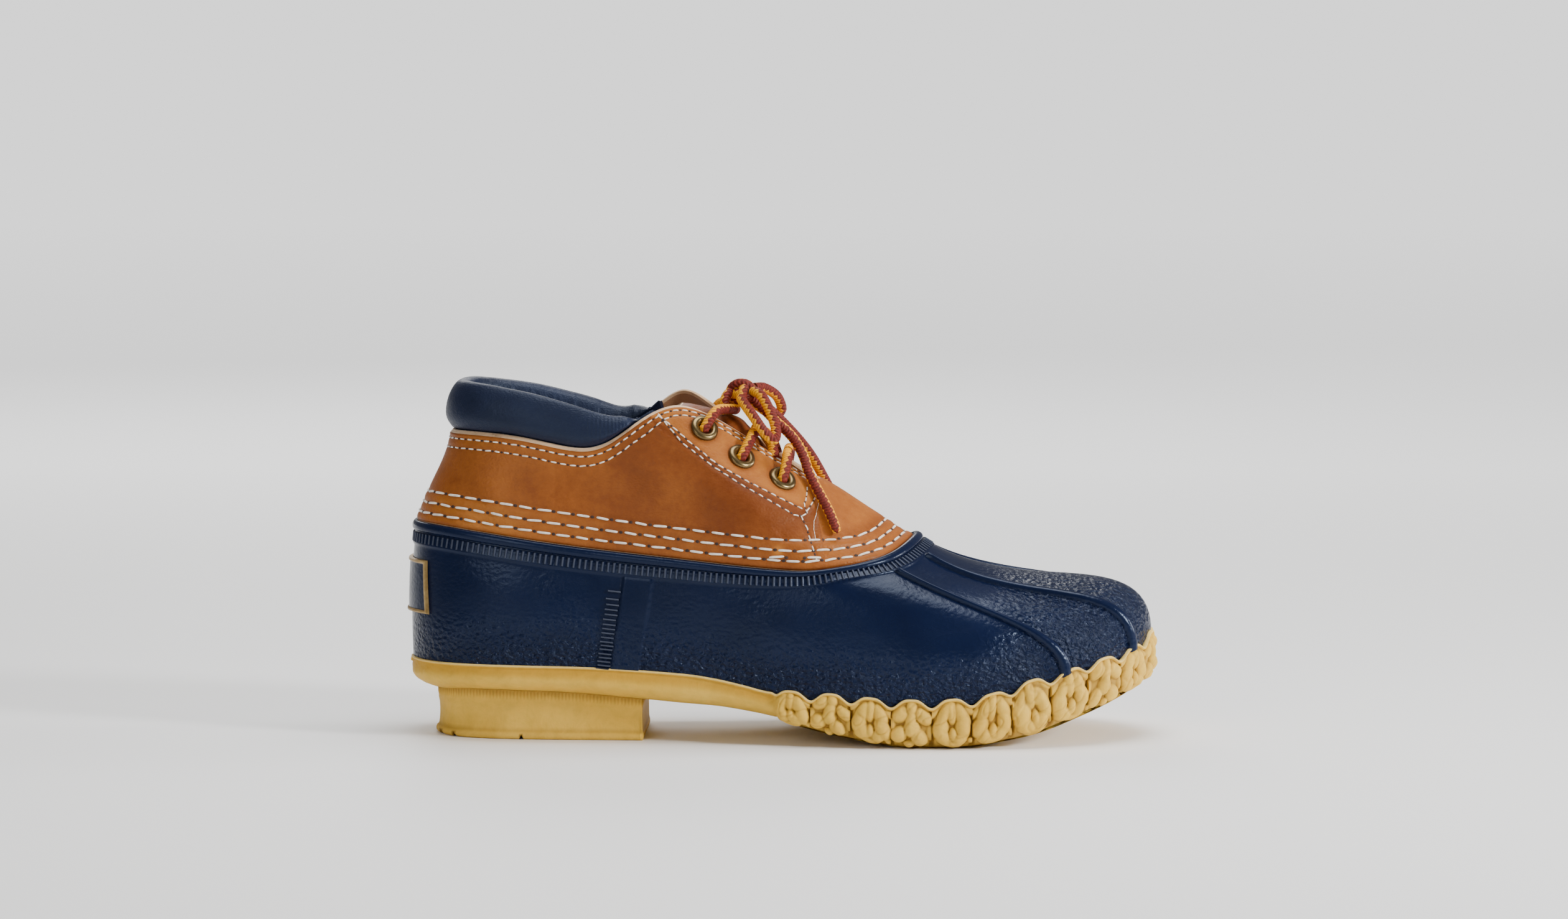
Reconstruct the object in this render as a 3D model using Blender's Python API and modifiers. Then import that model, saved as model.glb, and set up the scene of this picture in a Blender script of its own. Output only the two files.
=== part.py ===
"""Low duck boot, right shoe: moulded rubber bottom, leather upper, padded collar and three-eyelet lace.

The frame is in metres, with +Z up, the toe at +X, the outer side at -Y and the floor at z 0. Every surface
round the shoe is a function of "around", the share of the sole's outline from the back of the heel,
along the outer side, round the toe and back along the inner side.
"""
import math

import bmesh
import bpy
import numpy as np
from mathutils import Vector

# Driving dimensions, in metres
LENGTH = 0.300
BALL_WIDTH = 0.100
ANKLE_HEIGHT = 0.140
HEEL_HEIGHT = 0.031
LEATHER_WALL = 0.0022
VAMP_DROP = 0.0008
RUBBER_WALL = 0.0024
RUBBER_FLOOR = 0.0030
FLANGE_WALL = 0.0014
FLANGE_HEIGHT = 0.015
BEAD_PROUD = 0.0014
BEAD_HEIGHT = 0.0036
RIB_BAND_PROUD = 0.0008
RIB_BAND_HEIGHT = 0.0040
RIDGE_WIDTH = 0.0046
RIDGE_PROUD = 0.0018
LIP_THICKNESS = 0.0024
LUG_PITCH = 0.0157
LUG_PROUD = 0.0028
LUG_WAVE = 0.0020
SOLE_ROUNDING = 0.0085
HEEL_INSET = 0.0100
HEEL_GROOVE = 0.0014
HEEL_GROOVE_WIDTH = 0.0036
HEEL_FLARE = 0.0010
HEEL_HOLLOW = 0.0006
INSOLE_THICKNESS = 0.0035
INSOLE_CLEARANCE = 0.0022
COLLAR_HEM = 0.0090
COLLAR_HEM_WALL = 0.0016
COLLAR_ROLL = 0.0016
TONGUE_WALL = 0.0020
EYELET_HOLE = 0.0060
EYELET_DIAMETER = 0.0106
EYELET_WALL = 0.0005
EYELET_FLANGE = 0.0008
LACE_DIAMETER = 0.0040
KNOT_LENGTH = 0.0130
LABEL_TOP = 0.0150
LABEL_WIDTH = 0.050
LABEL_HEIGHT = 0.0215
LABEL_THICKNESS = 0.0012
LABEL_FRAME = 0.0016
GAP = 0.0003
DOUBLE_GAP = 2 * GAP

# One row for each section, counted round the shoe. base is the wall's foot on the sole's outline, rim the
# leather's lower edge. x is a share of LENGTH from the heel, y and the outward reaches are shares of
# BALL_WIDTH, heights are shares of ANKLE_HEIGHT. rise and swell lead the rubber wall up from its foot,
# fore, out and drop lead it into the rim.
# name, base_x, base_y, rim_x, rim_y, rim_z, rise, swell, fore, out, drop
RUBBER_SECTIONS = (
    ("heel_back", 0.002, 0.000, 0.007, 0.000, 0.614, 0.129, 0.010, 0.00, 0.020, 0.129),
    ("outer_heel_corner", 0.037, -0.240, 0.033, -0.200, 0.614, 0.129, 0.010, 0.00, 0.025, 0.129),
    ("outer_heel", 0.133, -0.350, 0.127, -0.315, 0.589, 0.129, 0.010, 0.10, 0.025, 0.129),
    ("outer_waist", 0.267, -0.370, 0.240, -0.340, 0.556, 0.121, 0.010, 0.20, 0.020, 0.121),
    ("outer_shank", 0.400, -0.395, 0.343, -0.370, 0.533, 0.114, 0.010, 0.25, 0.020, 0.114),
    ("outer_instep", 0.533, -0.450, 0.433, -0.395, 0.513, 0.121, 0.010, 0.30, 0.025, 0.114),
    ("outer_ball", 0.660, -0.490, 0.510, -0.405, 0.499, 0.129, 0.010, 0.35, 0.030, 0.100),
    ("outer_quarter_end", 0.773, -0.475, 0.560, -0.390, 0.502, 0.157, 0.005, 0.40, 0.040, 0.086),
    ("outer_ridge", 0.877, -0.380, 0.627, -0.295, 0.527, 0.143, 0.000, 0.35, 0.080, 0.141),
    ("outer_toe_ridge", 0.965, -0.180, 0.665, -0.120, 0.563, 0.243, 0.000, 0.30, 0.140, 0.220),
    ("toe", 0.992, 0.050, 0.675, 0.020, 0.577, 0.271, 0.000, 0.28, 0.120, 0.212),
    ("inner_toe_ridge", 0.962, 0.270, 0.665, 0.150, 0.563, 0.260, 0.000, 0.30, 0.140, 0.205),
    ("inner_ridge", 0.880, 0.450, 0.627, 0.310, 0.529, 0.165, 0.000, 0.35, 0.100, 0.135),
    ("inner_quarter_end", 0.773, 0.505, 0.560, 0.385, 0.507, 0.171, 0.005, 0.40, 0.050, 0.080),
    ("inner_ball", 0.650, 0.460, 0.510, 0.390, 0.506, 0.136, 0.010, 0.35, 0.030, 0.100),
    ("inner_instep", 0.533, 0.375, 0.433, 0.360, 0.518, 0.129, 0.010, 0.30, 0.020, 0.114),
    ("inner_shank", 0.400, 0.325, 0.343, 0.335, 0.536, 0.121, 0.010, 0.25, 0.010, 0.114),
    ("inner_waist", 0.267, 0.325, 0.240, 0.320, 0.557, 0.121, 0.010, 0.20, 0.010, 0.121),
    ("inner_heel", 0.133, 0.330, 0.127, 0.300, 0.589, 0.129, 0.010, 0.10, 0.020, 0.129),
    ("inner_heel_corner", 0.037, 0.235, 0.033, 0.190, 0.614, 0.129, 0.010, 0.00, 0.025, 0.129),
)

# The leather goes from the rim to its top edge, which is the collar's foot as far as the quarter's corner
# and the throat's edge from there. lift and swell lead it up from the rim, brow and dip into its top.
# crest, inset and pad are the collar's height over that edge, its top's way inwards and its thickness.
# top_x, top_y, top_z, lift, swell, brow, dip, crest, inset, pad
LEATHER_SECTIONS = (
    (0.053, 0.000, 0.875, 0.086, -0.035, 0.008, 0.086, 0.142, 0.050, 0.090),
    (0.073, -0.160, 0.877, 0.086, -0.025, 0.010, 0.086, 0.140, 0.050, 0.090),
    (0.150, -0.260, 0.866, 0.093, 0.000, 0.005, 0.093, 0.130, 0.040, 0.085),
    (0.240, -0.285, 0.836, 0.093, 0.005, 0.010, 0.093, 0.112, 0.030, 0.075),
    (0.297, -0.270, 0.893, 0.121, 0.010, 0.030, 0.114, 0.036, 0.020, 0.050),
    (0.353, -0.220, 0.957, 0.143, 0.015, 0.080, 0.100, 0.014, 0.010, 0.030),
    (0.427, -0.148, 0.902, 0.129, 0.010, 0.140, 0.100, 0.014, 0.010, 0.030),
    (0.530, -0.085, 0.757, 0.086, -0.020, 0.120, 0.043, 0.014, 0.010, 0.030),
    (0.542, -0.045, 0.746, 0.043, -0.040, 0.100, 0.032, 0.014, 0.010, 0.030),
    (0.547, -0.020, 0.743, 0.018, -0.070, 0.110, 0.025, 0.014, 0.010, 0.030),
    (0.548, 0.000, 0.743, 0.014, -0.075, 0.110, 0.029, 0.014, 0.010, 0.030),
    (0.547, 0.020, 0.743, 0.018, -0.070, 0.110, 0.025, 0.014, 0.010, 0.030),
    (0.542, 0.045, 0.746, 0.043, -0.040, 0.100, 0.032, 0.014, 0.010, 0.030),
    (0.530, 0.085, 0.757, 0.086, -0.020, 0.120, 0.043, 0.014, 0.010, 0.030),
    (0.427, 0.148, 0.902, 0.129, 0.010, 0.140, 0.100, 0.014, 0.010, 0.030),
    (0.353, 0.220, 0.957, 0.143, 0.015, 0.080, 0.100, 0.014, 0.010, 0.030),
    (0.297, 0.265, 0.893, 0.121, 0.010, 0.030, 0.114, 0.036, 0.020, 0.050),
    (0.240, 0.275, 0.836, 0.093, 0.005, 0.010, 0.093, 0.112, 0.030, 0.075),
    (0.150, 0.250, 0.866, 0.093, 0.000, 0.005, 0.093, 0.130, 0.040, 0.085),
    (0.073, 0.155, 0.877, 0.086, -0.025, 0.010, 0.086, 0.140, 0.050, 0.090),
)

# Heights along the shoe: x as a share of LENGTH, height as a share of HEEL_HEIGHT
BAND_TOP = (
    (0.002, 1.00), (0.20, 0.99), (0.37, 0.91), (0.41, 0.86), (0.45, 0.78), (0.487, 0.70), (0.54, 0.67),
    (0.59, 0.645), (0.643, 0.60), (0.70, 0.595), (0.75, 0.626), (0.777, 0.67), (0.803, 0.75),
    (0.837, 0.85), (0.873, 0.92), (0.897, 1.00), (0.933, 1.08), (0.957, 1.14), (0.980, 1.24), (0.995, 1.33),
)
SOLE_BOTTOM = (
    (0.002, 0.61), (0.08, 0.65), (0.20, 0.632), (0.303, 0.558), (0.367, 0.503), (0.41, 0.474),
    (0.45, 0.42), (0.487, 0.352), (0.537, 0.22), (0.587, 0.116), (0.637, 0.035), (0.667, 0.0),
    (0.730, 0.0), (0.757, 0.02), (0.790, 0.071), (0.833, 0.148), (0.897, 0.355), (0.953, 0.571),
    (0.987, 0.729), (1.005, 0.84),
)
CUP_FLOOR = (
    (0.002, 0.87), (0.20, 0.86), (0.367, 0.774), (0.45, 0.645), (0.487, 0.574), (0.54, 0.516),
    (0.59, 0.484), (0.643, 0.45), (0.70, 0.445), (0.75, 0.475), (0.803, 0.58), (0.85, 0.69),
    (0.90, 0.82), (0.95, 0.97), (0.993, 1.10),
)
HEEL_BREAST = 0.315
HEEL_GROOVES = (0.075, 0.145, 0.215, 0.272)
LUGS_BEGIN = 0.487

# Eyelets of one side: x share of LENGTH, height share of ANKLE_HEIGHT
EYELETS = ((0.397, 0.890), (0.447, 0.811), (0.501, 0.747))

# Tongue from under the vamp up: x, height at its middle, half width, droop and setback at its sides
TONGUE_SECTIONS = (
    (0.505, 0.752, 0.195, 0.050, 0.015),
    (0.447, 0.848, 0.215, 0.072, 0.027),
    (0.405, 0.926, 0.220, 0.075, 0.035),
    (0.381, 0.985, 0.195, 0.055, 0.047),
)

# The lace's routes, chosen by hand. The bars lie clear of the leather, from eyelet to eyelet.
TOE_BAR = (
    (0.0018, -0.0242, 0.1073), (0.0018, -0.0178, 0.1113), (0.0018, -0.0112, 0.1137), (0.0018, 0.0000, 0.1138),
    (0.0018, 0.0112, 0.1137), (0.0018, 0.0178, 0.1113), (0.0018, 0.0242, 0.1073),
)
CROSS_BAR = (
    (-0.0140, -0.0268, 0.1168), (-0.0127, -0.0205, 0.1200), (-0.0110, -0.0140, 0.1227),
    (-0.0075, 0.0000, 0.1212), (-0.0050, 0.0060, 0.1182),
)
TOP_BAR = (
    (-0.0293, -0.0256, 0.1271), (-0.0278, -0.0213, 0.1297), (-0.0256, -0.0170, 0.1316),
    (-0.0220, -0.0085, 0.1312), (-0.0195, 0.0000, 0.1304), (-0.0220, 0.0085, 0.1312),
    (-0.0256, 0.0170, 0.1316), (-0.0278, 0.0213, 0.1297), (-0.0293, 0.0256, 0.1271),
)
KNOT_CENTRE = (-0.0185, 0.0000, 0.1375)
OUTER_LOOP = (
    (-0.0122, -0.0052, 0.1384), (-0.0086, -0.0095, 0.1366), (-0.0050, -0.0135, 0.1305),
    (-0.0026, -0.0170, 0.1237), (-0.0034, -0.0200, 0.1200), (-0.0070, -0.0206, 0.1230),
    (-0.0116, -0.0174, 0.1290), (-0.0154, -0.0118, 0.1335), (-0.0170, -0.0082, 0.1356),
)
INNER_LOOP = (
    (-0.0122, 0.0054, 0.1386), (-0.0082, 0.0094, 0.1382), (-0.0034, 0.0136, 0.1346),
    (-0.0016, 0.0172, 0.1290), (-0.0050, 0.0198, 0.1266), (-0.0102, 0.0184, 0.1294),
    (-0.0146, 0.0136, 0.1336), (-0.0170, 0.0084, 0.1364),
)
OUTER_END = (
    (-0.0124, -0.0034, 0.1346), (-0.0075, -0.0046, 0.1304), (-0.0030, -0.0056, 0.1260),
    (0.0016, -0.0066, 0.1220), (0.0054, -0.0082, 0.1176), (0.0084, -0.0112, 0.1120),
    (0.0104, -0.0148, 0.1066), (0.0130, -0.0186, 0.1018), (0.0158, -0.0222, 0.0972),
    (0.0186, -0.0260, 0.0924), (0.0208, -0.0296, 0.0878), (0.0223, -0.0324, 0.0843),
)
INNER_END = (
    (-0.0124, 0.0036, 0.1352), (-0.0076, 0.0046, 0.1314), (-0.0034, 0.0050, 0.1276),
    (0.0018, 0.0058, 0.1222), (0.0068, 0.0084, 0.1162), (0.0106, 0.0118, 0.1106),
    (0.0136, 0.0154, 0.1050), (0.0162, 0.0194, 0.0996), (0.0188, 0.0236, 0.0942), (0.0212, 0.0276, 0.0890),
)

ROWS = len(RUBBER_SECTIONS)
TOE_ROW = [row[0] for row in RUBBER_SECTIONS].index("toe")
STEP_ROW = [row[0] for row in RUBBER_SECTIONS].index("outer_quarter_end")
RIDGE_ROWS = tuple(i for i, row in enumerate(RUBBER_SECTIONS) if "ridge" in row[0])
COLUMNS_BETWEEN_ROWS = (4, 4, 3, 3, 3, 3, 3, 3, 2, 2)


def unit(vectors):
    return vectors / np.maximum(np.linalg.norm(vectors, axis=-1, keepdims=True), 1e-12)


class Ring:
    """A smooth curve through the rows of a table, closed round the shoe."""

    def __init__(self, knots, values):
        self.knots = np.asarray(knots)
        self.values = np.asarray(values, float)
        count = len(self.knots)
        self.gaps = np.diff(np.append(self.knots, self.knots[0] + 1.0))
        matrix = np.zeros((count, count))
        right = np.zeros_like(self.values)
        for i in range(count):
            before, after, following = self.gaps[i - 1], self.gaps[i], (i + 1) % count
            matrix[i, i - 1] += 1 / before
            matrix[i, i] += 2 / before + 2 / after
            matrix[i, following] += 1 / after
            right[i] = 3 * (self.values[i] - self.values[i - 1]) / before**2
            right[i] += 3 * (self.values[following] - self.values[i]) / after**2
        self.slopes = np.linalg.solve(matrix, right)

    def __call__(self, around):
        around = np.mod(np.asarray(around, float), 1.0)
        i = np.clip(np.searchsorted(self.knots, around, side="right") - 1, 0, len(self.knots) - 1)
        following = (i + 1) % len(self.knots)
        gap = self.gaps[i]
        t = ((around - self.knots[i]) / gap)[..., None]
        gap = gap[..., None]
        start = (1 + 2 * t) * (1 - t) ** 2 * self.values[i] + t * (1 - t) ** 2 * gap * self.slopes[i]
        end = t**2 * (3 - 2 * t) * self.values[following] + t**2 * (t - 1) * gap * self.slopes[following]
        return start + end


def height_along(table, x):
    """The height at x of a table of (share of LENGTH, share of HEEL_HEIGHT), never past its own rows."""
    places = (np.array([row[0] for row in table]) - 0.5) * LENGTH
    heights = np.array([row[1] for row in table]) * HEEL_HEIGHT
    steps = np.diff(heights) / np.diff(places)
    slopes = np.zeros(len(places))
    same = steps[:-1] * steps[1:] > 0
    slopes[1:-1][same] = 2 * steps[:-1][same] * steps[1:][same] / (steps[:-1] + steps[1:])[same]
    x = np.clip(x, places[0], places[-1])
    i = np.clip(np.searchsorted(places, x, side="right") - 1, 0, len(places) - 2)
    gap = places[i + 1] - places[i]
    t = (x - places[i]) / gap
    start = (1 + 2 * t) * (1 - t) ** 2 * heights[i] + t * (1 - t) ** 2 * gap * slopes[i]
    return start + t**2 * (3 - 2 * t) * heights[i + 1] + t**2 * (t - 1) * gap * slopes[i + 1]


def section_values():
    scale_rubber = (LENGTH, BALL_WIDTH, LENGTH, BALL_WIDTH, ANKLE_HEIGHT, ANKLE_HEIGHT, BALL_WIDTH, 1,
                    BALL_WIDTH, ANKLE_HEIGHT)
    scale_leather = (LENGTH, BALL_WIDTH, ANKLE_HEIGHT, ANKLE_HEIGHT, BALL_WIDTH, BALL_WIDTH, ANKLE_HEIGHT,
                     ANKLE_HEIGHT, BALL_WIDTH, BALL_WIDTH)
    rubber = np.array([row[1:] for row in RUBBER_SECTIONS]) * scale_rubber
    leather = np.array(LEATHER_SECTIONS) * scale_leather
    for table, column in ((rubber, 0), (rubber, 2), (leather, 0)):
        table[:, column] -= LENGTH / 2
    return rubber, leather


RUBBER, LEATHER = section_values()
STRIDES = np.linalg.norm(np.roll(RUBBER[:, :2], -1, axis=0) - RUBBER[:, :2], axis=1)
PERIMETER = float(STRIDES.sum())
KNOTS = np.concatenate([[0.0], np.cumsum(STRIDES)[:-1]]) / PERIMETER
rubber_ring = Ring(KNOTS, RUBBER)
leather_ring = Ring(KNOTS, LEATHER)


def outward(ring, around, column):
    """The plan normal, out of the shoe, of the loop whose x and y start at this column."""
    step = 1e-4
    ahead = ring(around + step)[..., column:column + 2] - ring(around - step)[..., column:column + 2]
    return unit(np.stack([ahead[..., 1], -ahead[..., 0]], axis=-1))


def bezier(points, t):
    a, b, c, d = points
    t = np.asarray(t)[..., None]
    return (1 - t) ** 3 * a + 3 * t * (1 - t) ** 2 * b + 3 * t**2 * (1 - t) * c + t**3 * d


def flat(plan, height):
    return np.concatenate([plan, np.asarray(height)[..., None]], axis=-1)


def rim(around):
    return rubber_ring(around)[..., 2:5]


def wall_lines(around):
    """The rubber wall's four leading points, from the sole's outline to the rim."""
    row = rubber_ring(around)
    base, edge = row[..., :2], row[..., 2:4]
    foot_way = outward(rubber_ring, around, 0)
    foot = height_along(BAND_TOP, base[..., 0])
    a = flat(base, foot)
    b = flat(base + foot_way * row[..., 6:7], foot + row[..., 5])
    c = flat(edge + (base - edge) * row[..., 7:8] + foot_way * row[..., 8:9], row[..., 4] - row[..., 9])
    return a, b, c, row[..., 2:5]


def wall(around, t):
    return bezier(wall_lines(around), t)


def leather(around, v):
    """The leather's outer surface, v 0 at the rim and 1 at its top edge."""
    row = leather_ring(around)
    foot, top = rim(around), row[..., :3]
    way = outward(rubber_ring, around, 2)
    b = foot + flat(way * row[..., 4:5], row[..., 3])
    c = top + flat(way * row[..., 5:6], -row[..., 6])
    return bezier((foot, b, c, top), v)


def offset(surface, around, v, distance):
    """A point of a surface moved along its outward normal."""
    step = 1e-3
    around, v = np.broadcast_arrays(np.asarray(around, float), np.asarray(v, float))
    along = surface(around + step, v) - surface(around - step, v)
    up = surface(around, v + step) - surface(around, v - step)
    normal = unit(np.cross(along, up))
    return surface(around, v) + normal * np.asarray(distance)[..., None]


def share_at_length(surface, around, lengths, from_top):
    """For each place around, the surface's own share at these lengths along it from one of its ends."""
    steps = np.linspace(0, 1, 49)
    found = np.zeros((len(around), len(lengths)))
    for i, place in enumerate(around):
        line = surface(np.full(49, place), steps)
        run = np.concatenate([[0], np.cumsum(np.linalg.norm(np.diff(line, axis=0), axis=1))])
        if from_top:
            found[i] = np.interp(run[-1] - np.asarray(lengths), run, steps)
        else:
            found[i] = np.interp(lengths, run, steps)
    return found


def side_columns():
    """Places around the shoe from the heel's back to the toe on the outer side, and on the inner side."""
    ridge = RIDGE_WIDTH / 2 / PERIMETER
    step = GAP / PERIMETER
    outer = [0.0]
    inner = [1.0]
    for k, count in enumerate(COLUMNS_BETWEEN_ROWS):
        for side, rows in ((outer, (k, k + 1)), (inner, (-k % ROWS, ROWS - k - 1))):
            ends = [KNOTS[i] if i else float(side is inner) for i in rows]
            steps = [ends[0] + (ends[1] - ends[0]) * i / count for i in range(1, count + 1)]
            if rows[1] in RIDGE_ROWS:
                turn = 1 if side is outer else -1
                steps[-1:] = [steps[-1] - turn * ridge, steps[-1], steps[-1] + turn * ridge]
            if rows[1] in (STEP_ROW, ROWS - STEP_ROW):
                turn = 1 if side is outer else -1
                steps[-1:] = [steps[-1] - turn * step, steps[-1] + turn * step]
            side.extend(steps)
    return outer, inner


def all_columns():
    outer, inner = side_columns()
    return np.array(outer + inner[-2:0:-1])


def lug_columns():
    """The outsole's places: the shoe's own columns as far as the lugs, then five places to each lug."""
    outer, inner = side_columns()
    begin = (LUGS_BEGIN - 0.5) * LENGTH
    sides = []
    toe = KNOTS[TOE_ROW]
    for side in (outer, inner):
        heel = [place for place in side if rubber_ring(place)[0] < begin and abs(place - toe) > 0.1]
        dense = np.linspace(heel[-1], toe, 400)
        start = float(np.interp(begin, rubber_ring(dense)[:, 0], dense))
        count = max(1, round(abs(toe - start) * PERIMETER / LUG_PITCH))
        lugs = [start + (toe - start) * (i + part) / count for i in range(count)
                for part in (0.0, 0.20, 0.42, 0.58, 0.80)]
        if abs(heel[-1] - start) * PERIMETER < LUG_PITCH / 8:
            heel.pop()
        sides.append((heel, lugs, count))
    fewest = min(len(heel) for heel, _, _ in sides)
    if sides[0][2] != sides[1][2] or any(len(heel) != fewest for heel, _, _ in sides):
        count = max(side[2] for side in sides)
        for n, (heel, lugs, _) in enumerate(sides):
            start = lugs[0]
            lugs = [start + (toe - start) * (i + part) / count for i in range(count)
                    for part in (0.0, 0.20, 0.42, 0.58, 0.80)]
            sides[n] = (heel[:fewest], lugs, count)
    outer = sides[0][0] + sides[0][1] + [toe]
    inner = sides[1][0] + sides[1][1]
    phases = [None] * fewest + [i / 5 for i in range(5)] * sides[0][2]
    phase = phases + [0.0] + phases[:0:-1]
    return np.array(outer + inner[:0:-1]), phase


def build_mesh(name, points, faces, colour, roughness, metallic=0.0):
    mesh = bpy.data.meshes.new(name)
    mesh.from_pydata([tuple(p) for p in points], [], faces)
    work = bmesh.new()
    work.from_mesh(mesh)
    bmesh.ops.recalc_face_normals(work, faces=work.faces)
    work.to_mesh(mesh)
    work.free()
    obj = bpy.data.objects.new(name, mesh)
    PARTS.objects.link(obj)
    obj.data.shade_smooth()
    obj.data.set_sharp_from_angle(angle=math.radians(40))
    paint(obj, colour, roughness, metallic)
    return obj


def paint(obj, colour, roughness, metallic=0.0):
    material = bpy.data.materials.new(obj.name)
    material.use_nodes = True
    shader = material.node_tree.nodes["Principled BSDF"]
    shader.inputs["Base Color"].default_value = (*colour, 1)
    shader.inputs["Roughness"].default_value = roughness
    shader.inputs["Metallic"].default_value = metallic
    obj.data.materials.append(material)


def ring_faces(first, second, count):
    return [(first + i, first + (i + 1) % count, second + (i + 1) % count, second + i) for i in range(count)]


def strip_cap(start, count):
    """A closed loop filled with strips across the shoe, from its outer side to its inner side."""
    half = count // 2
    faces = [(start, start + 1, start + count - 1), (start + half, start + half + 1, start + half - 1)]
    faces += [(start + i, start + i + 1, start + count - i - 1, start + count - i) for i in range(1, half - 1)]
    return faces


def loops_to_faces(loops, closed):
    """The faces of a stack of closed loops: a tube that meets itself, or a bowl with both ends filled."""
    count = len(loops[0])
    faces = []
    for n in range(len(loops) - 1):
        faces += ring_faces(n * count, (n + 1) * count, count)
    if closed:
        faces += ring_faces((len(loops) - 1) * count, 0, count)
    else:
        faces += strip_cap(0, count) + strip_cap((len(loops) - 1) * count, count)
    return faces


def inset_outline(around, distance):
    base = rubber_ring(around)[..., :2]
    return base - outward(rubber_ring, around, 0) * np.asarray(distance)[..., None]


def lug_mask(x):
    """0 along the smooth band, 1 along the lugs."""
    return np.clip((x - (LUGS_BEGIN - 0.5) * LENGTH) / (LUG_PITCH / 4) + 1, 0, 1)


def leather_drop(around):
    """How far the vamp's face lies under the quarters' face, which ends over it."""
    between = (around > KNOTS[STEP_ROW]) & (around < KNOTS[ROWS - STEP_ROW])
    return np.where(between, VAMP_DROP, 0.0)


def make_outsole():
    around, phase = lug_columns()
    x = rubber_ring(around)[:, 0]
    mask = lug_mask(x)
    mask[[p is None for p in phase]] = 0.0
    turn = np.array([0.0 if p is None else p for p in phase])
    top = height_along(BAND_TOP, x) + mask * LUG_WAVE * -np.cos(2 * math.pi * turn)
    groove = np.isclose(turn, 0.0)
    centre = (turn > 0.3) & (turn < 0.7)
    # share of the height, band's inset, lug's reach, its reach in the groove, its reach at the lug's middle
    profile = (
        (0.00, SOLE_ROUNDING, -0.3, -1.0, -0.2),
        (0.15, 0.38 * SOLE_ROUNDING, 0.7, -0.4, 0.8),
        (0.36, 0.09 * SOLE_ROUNDING, 1.0, -0.2, 0.45),
        (0.58, 0.00, 1.0, -0.2, 0.35),
        (0.80, 0.00, 0.8, 0.0, 0.85),
        (1.00, 0.00, 0.2, 0.1, 0.2),
    )
    middle_edge = inset_outline(around, 1.9 * SOLE_ROUNDING + 0 * x)
    loops = [flat(middle_edge, height_along(SOLE_BOTTOM, middle_edge[:, 0]))]
    for share, inset, lug, dip, middle in profile:
        reach = np.where(groove, dip, np.where(centre, middle, lug)) * LUG_PROUD
        edge = inset_outline(around, (1 - mask) * inset - mask * reach)
        bottom = height_along(SOLE_BOTTOM, edge[:, 0])
        loops.append(flat(edge, bottom + (top - bottom) * share))
    inner = inset_outline(around, LIP_THICKNESS + 0 * x)
    loops.append(flat(inner, top))
    loops.append(flat(inner, height_along(CUP_FLOOR, x)))
    return build_mesh("outsole", np.concatenate(loops), loops_to_faces(loops, closed=False),
                      (0.64, 0.41, 0.13), 0.6)


def make_heel():
    """The block, lofted along x, with a soft hollow in its sides and grooves across its foot."""
    dense = np.linspace(0, 1, 1601)
    outline = inset_outline(dense, HEEL_INSET + 0 * dense)
    back = outline[:, 0].min() + GAP
    breast = (HEEL_BREAST - 0.5) * LENGTH
    stations = list(back + (breast - back) * (1 - np.cos(np.linspace(0, math.pi / 2, 8))))
    for share in HEEL_GROOVES:
        middle = (share - 0.5) * LENGTH
        half = HEEL_GROOVE_WIDTH / 2
        near = [x for x in stations[1:-1] if abs(x - middle) <= half * 1.6]
        stations = [x for x in stations if x not in near]
        stations += [middle - half, middle - half / 2, middle + half / 2, middle + half]
    stations.sort()
    edges = []
    for x in stations:
        sides = []
        for sign, chosen in ((-1, outline[dense < KNOTS[TOE_ROW]]), (1, outline[dense > KNOTS[TOE_ROW]][::-1])):
            order = np.argsort(chosen[:, 0])
            sides.append(float(np.interp(x, chosen[order, 0], chosen[order, 1])))
        edges.append(sides)
    grooves = [(share - 0.5) * LENGTH for share in HEEL_GROOVES]
    points = []
    for x, (outer, inner) in zip(stations, edges):
        top = float(height_along(SOLE_BOTTOM, np.array(x))) - GAP
        cut = HEEL_GROOVE if min(abs(x - g) for g in grooves) < HEEL_GROOVE_WIDTH / 3 else 0.0
        foot, hollow = 0.22 * top, 0.62 * top
        ring = [(outer - HEEL_FLARE, cut), (outer, foot), (outer + HEEL_HOLLOW, hollow), (outer, top),
                (inner, top), (inner - HEEL_HOLLOW, hollow), (inner, foot), (inner + HEEL_FLARE, cut)]
        points += [(x, y, z) for y, z in ring]
    size = 8
    faces = []
    for n in range(len(stations) - 1):
        faces += ring_faces(n * size, (n + 1) * size, size)
    faces += [tuple(range(size)), tuple(range((len(stations) - 1) * size, len(stations) * size))]
    return build_mesh("heel", points, faces, (0.60, 0.38, 0.12), 0.6)


def rubber_outer_lengths():
    """Lengths down the wall from the rim, each with how far it stands proud of the wall."""
    bead, band = BEAD_HEIGHT, RIB_BAND_HEIGHT
    return (
        (0.3 * bead, 0.9 * BEAD_PROUD), (0.65 * bead, BEAD_PROUD), (1.0 * bead, 0.5 * BEAD_PROUD),
        (1.2 * bead, 0.0), (1.35 * bead, RIB_BAND_PROUD), (1.35 * bead + band, RIB_BAND_PROUD),
        (1.5 * bead + band, 0.0),
    )


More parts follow.
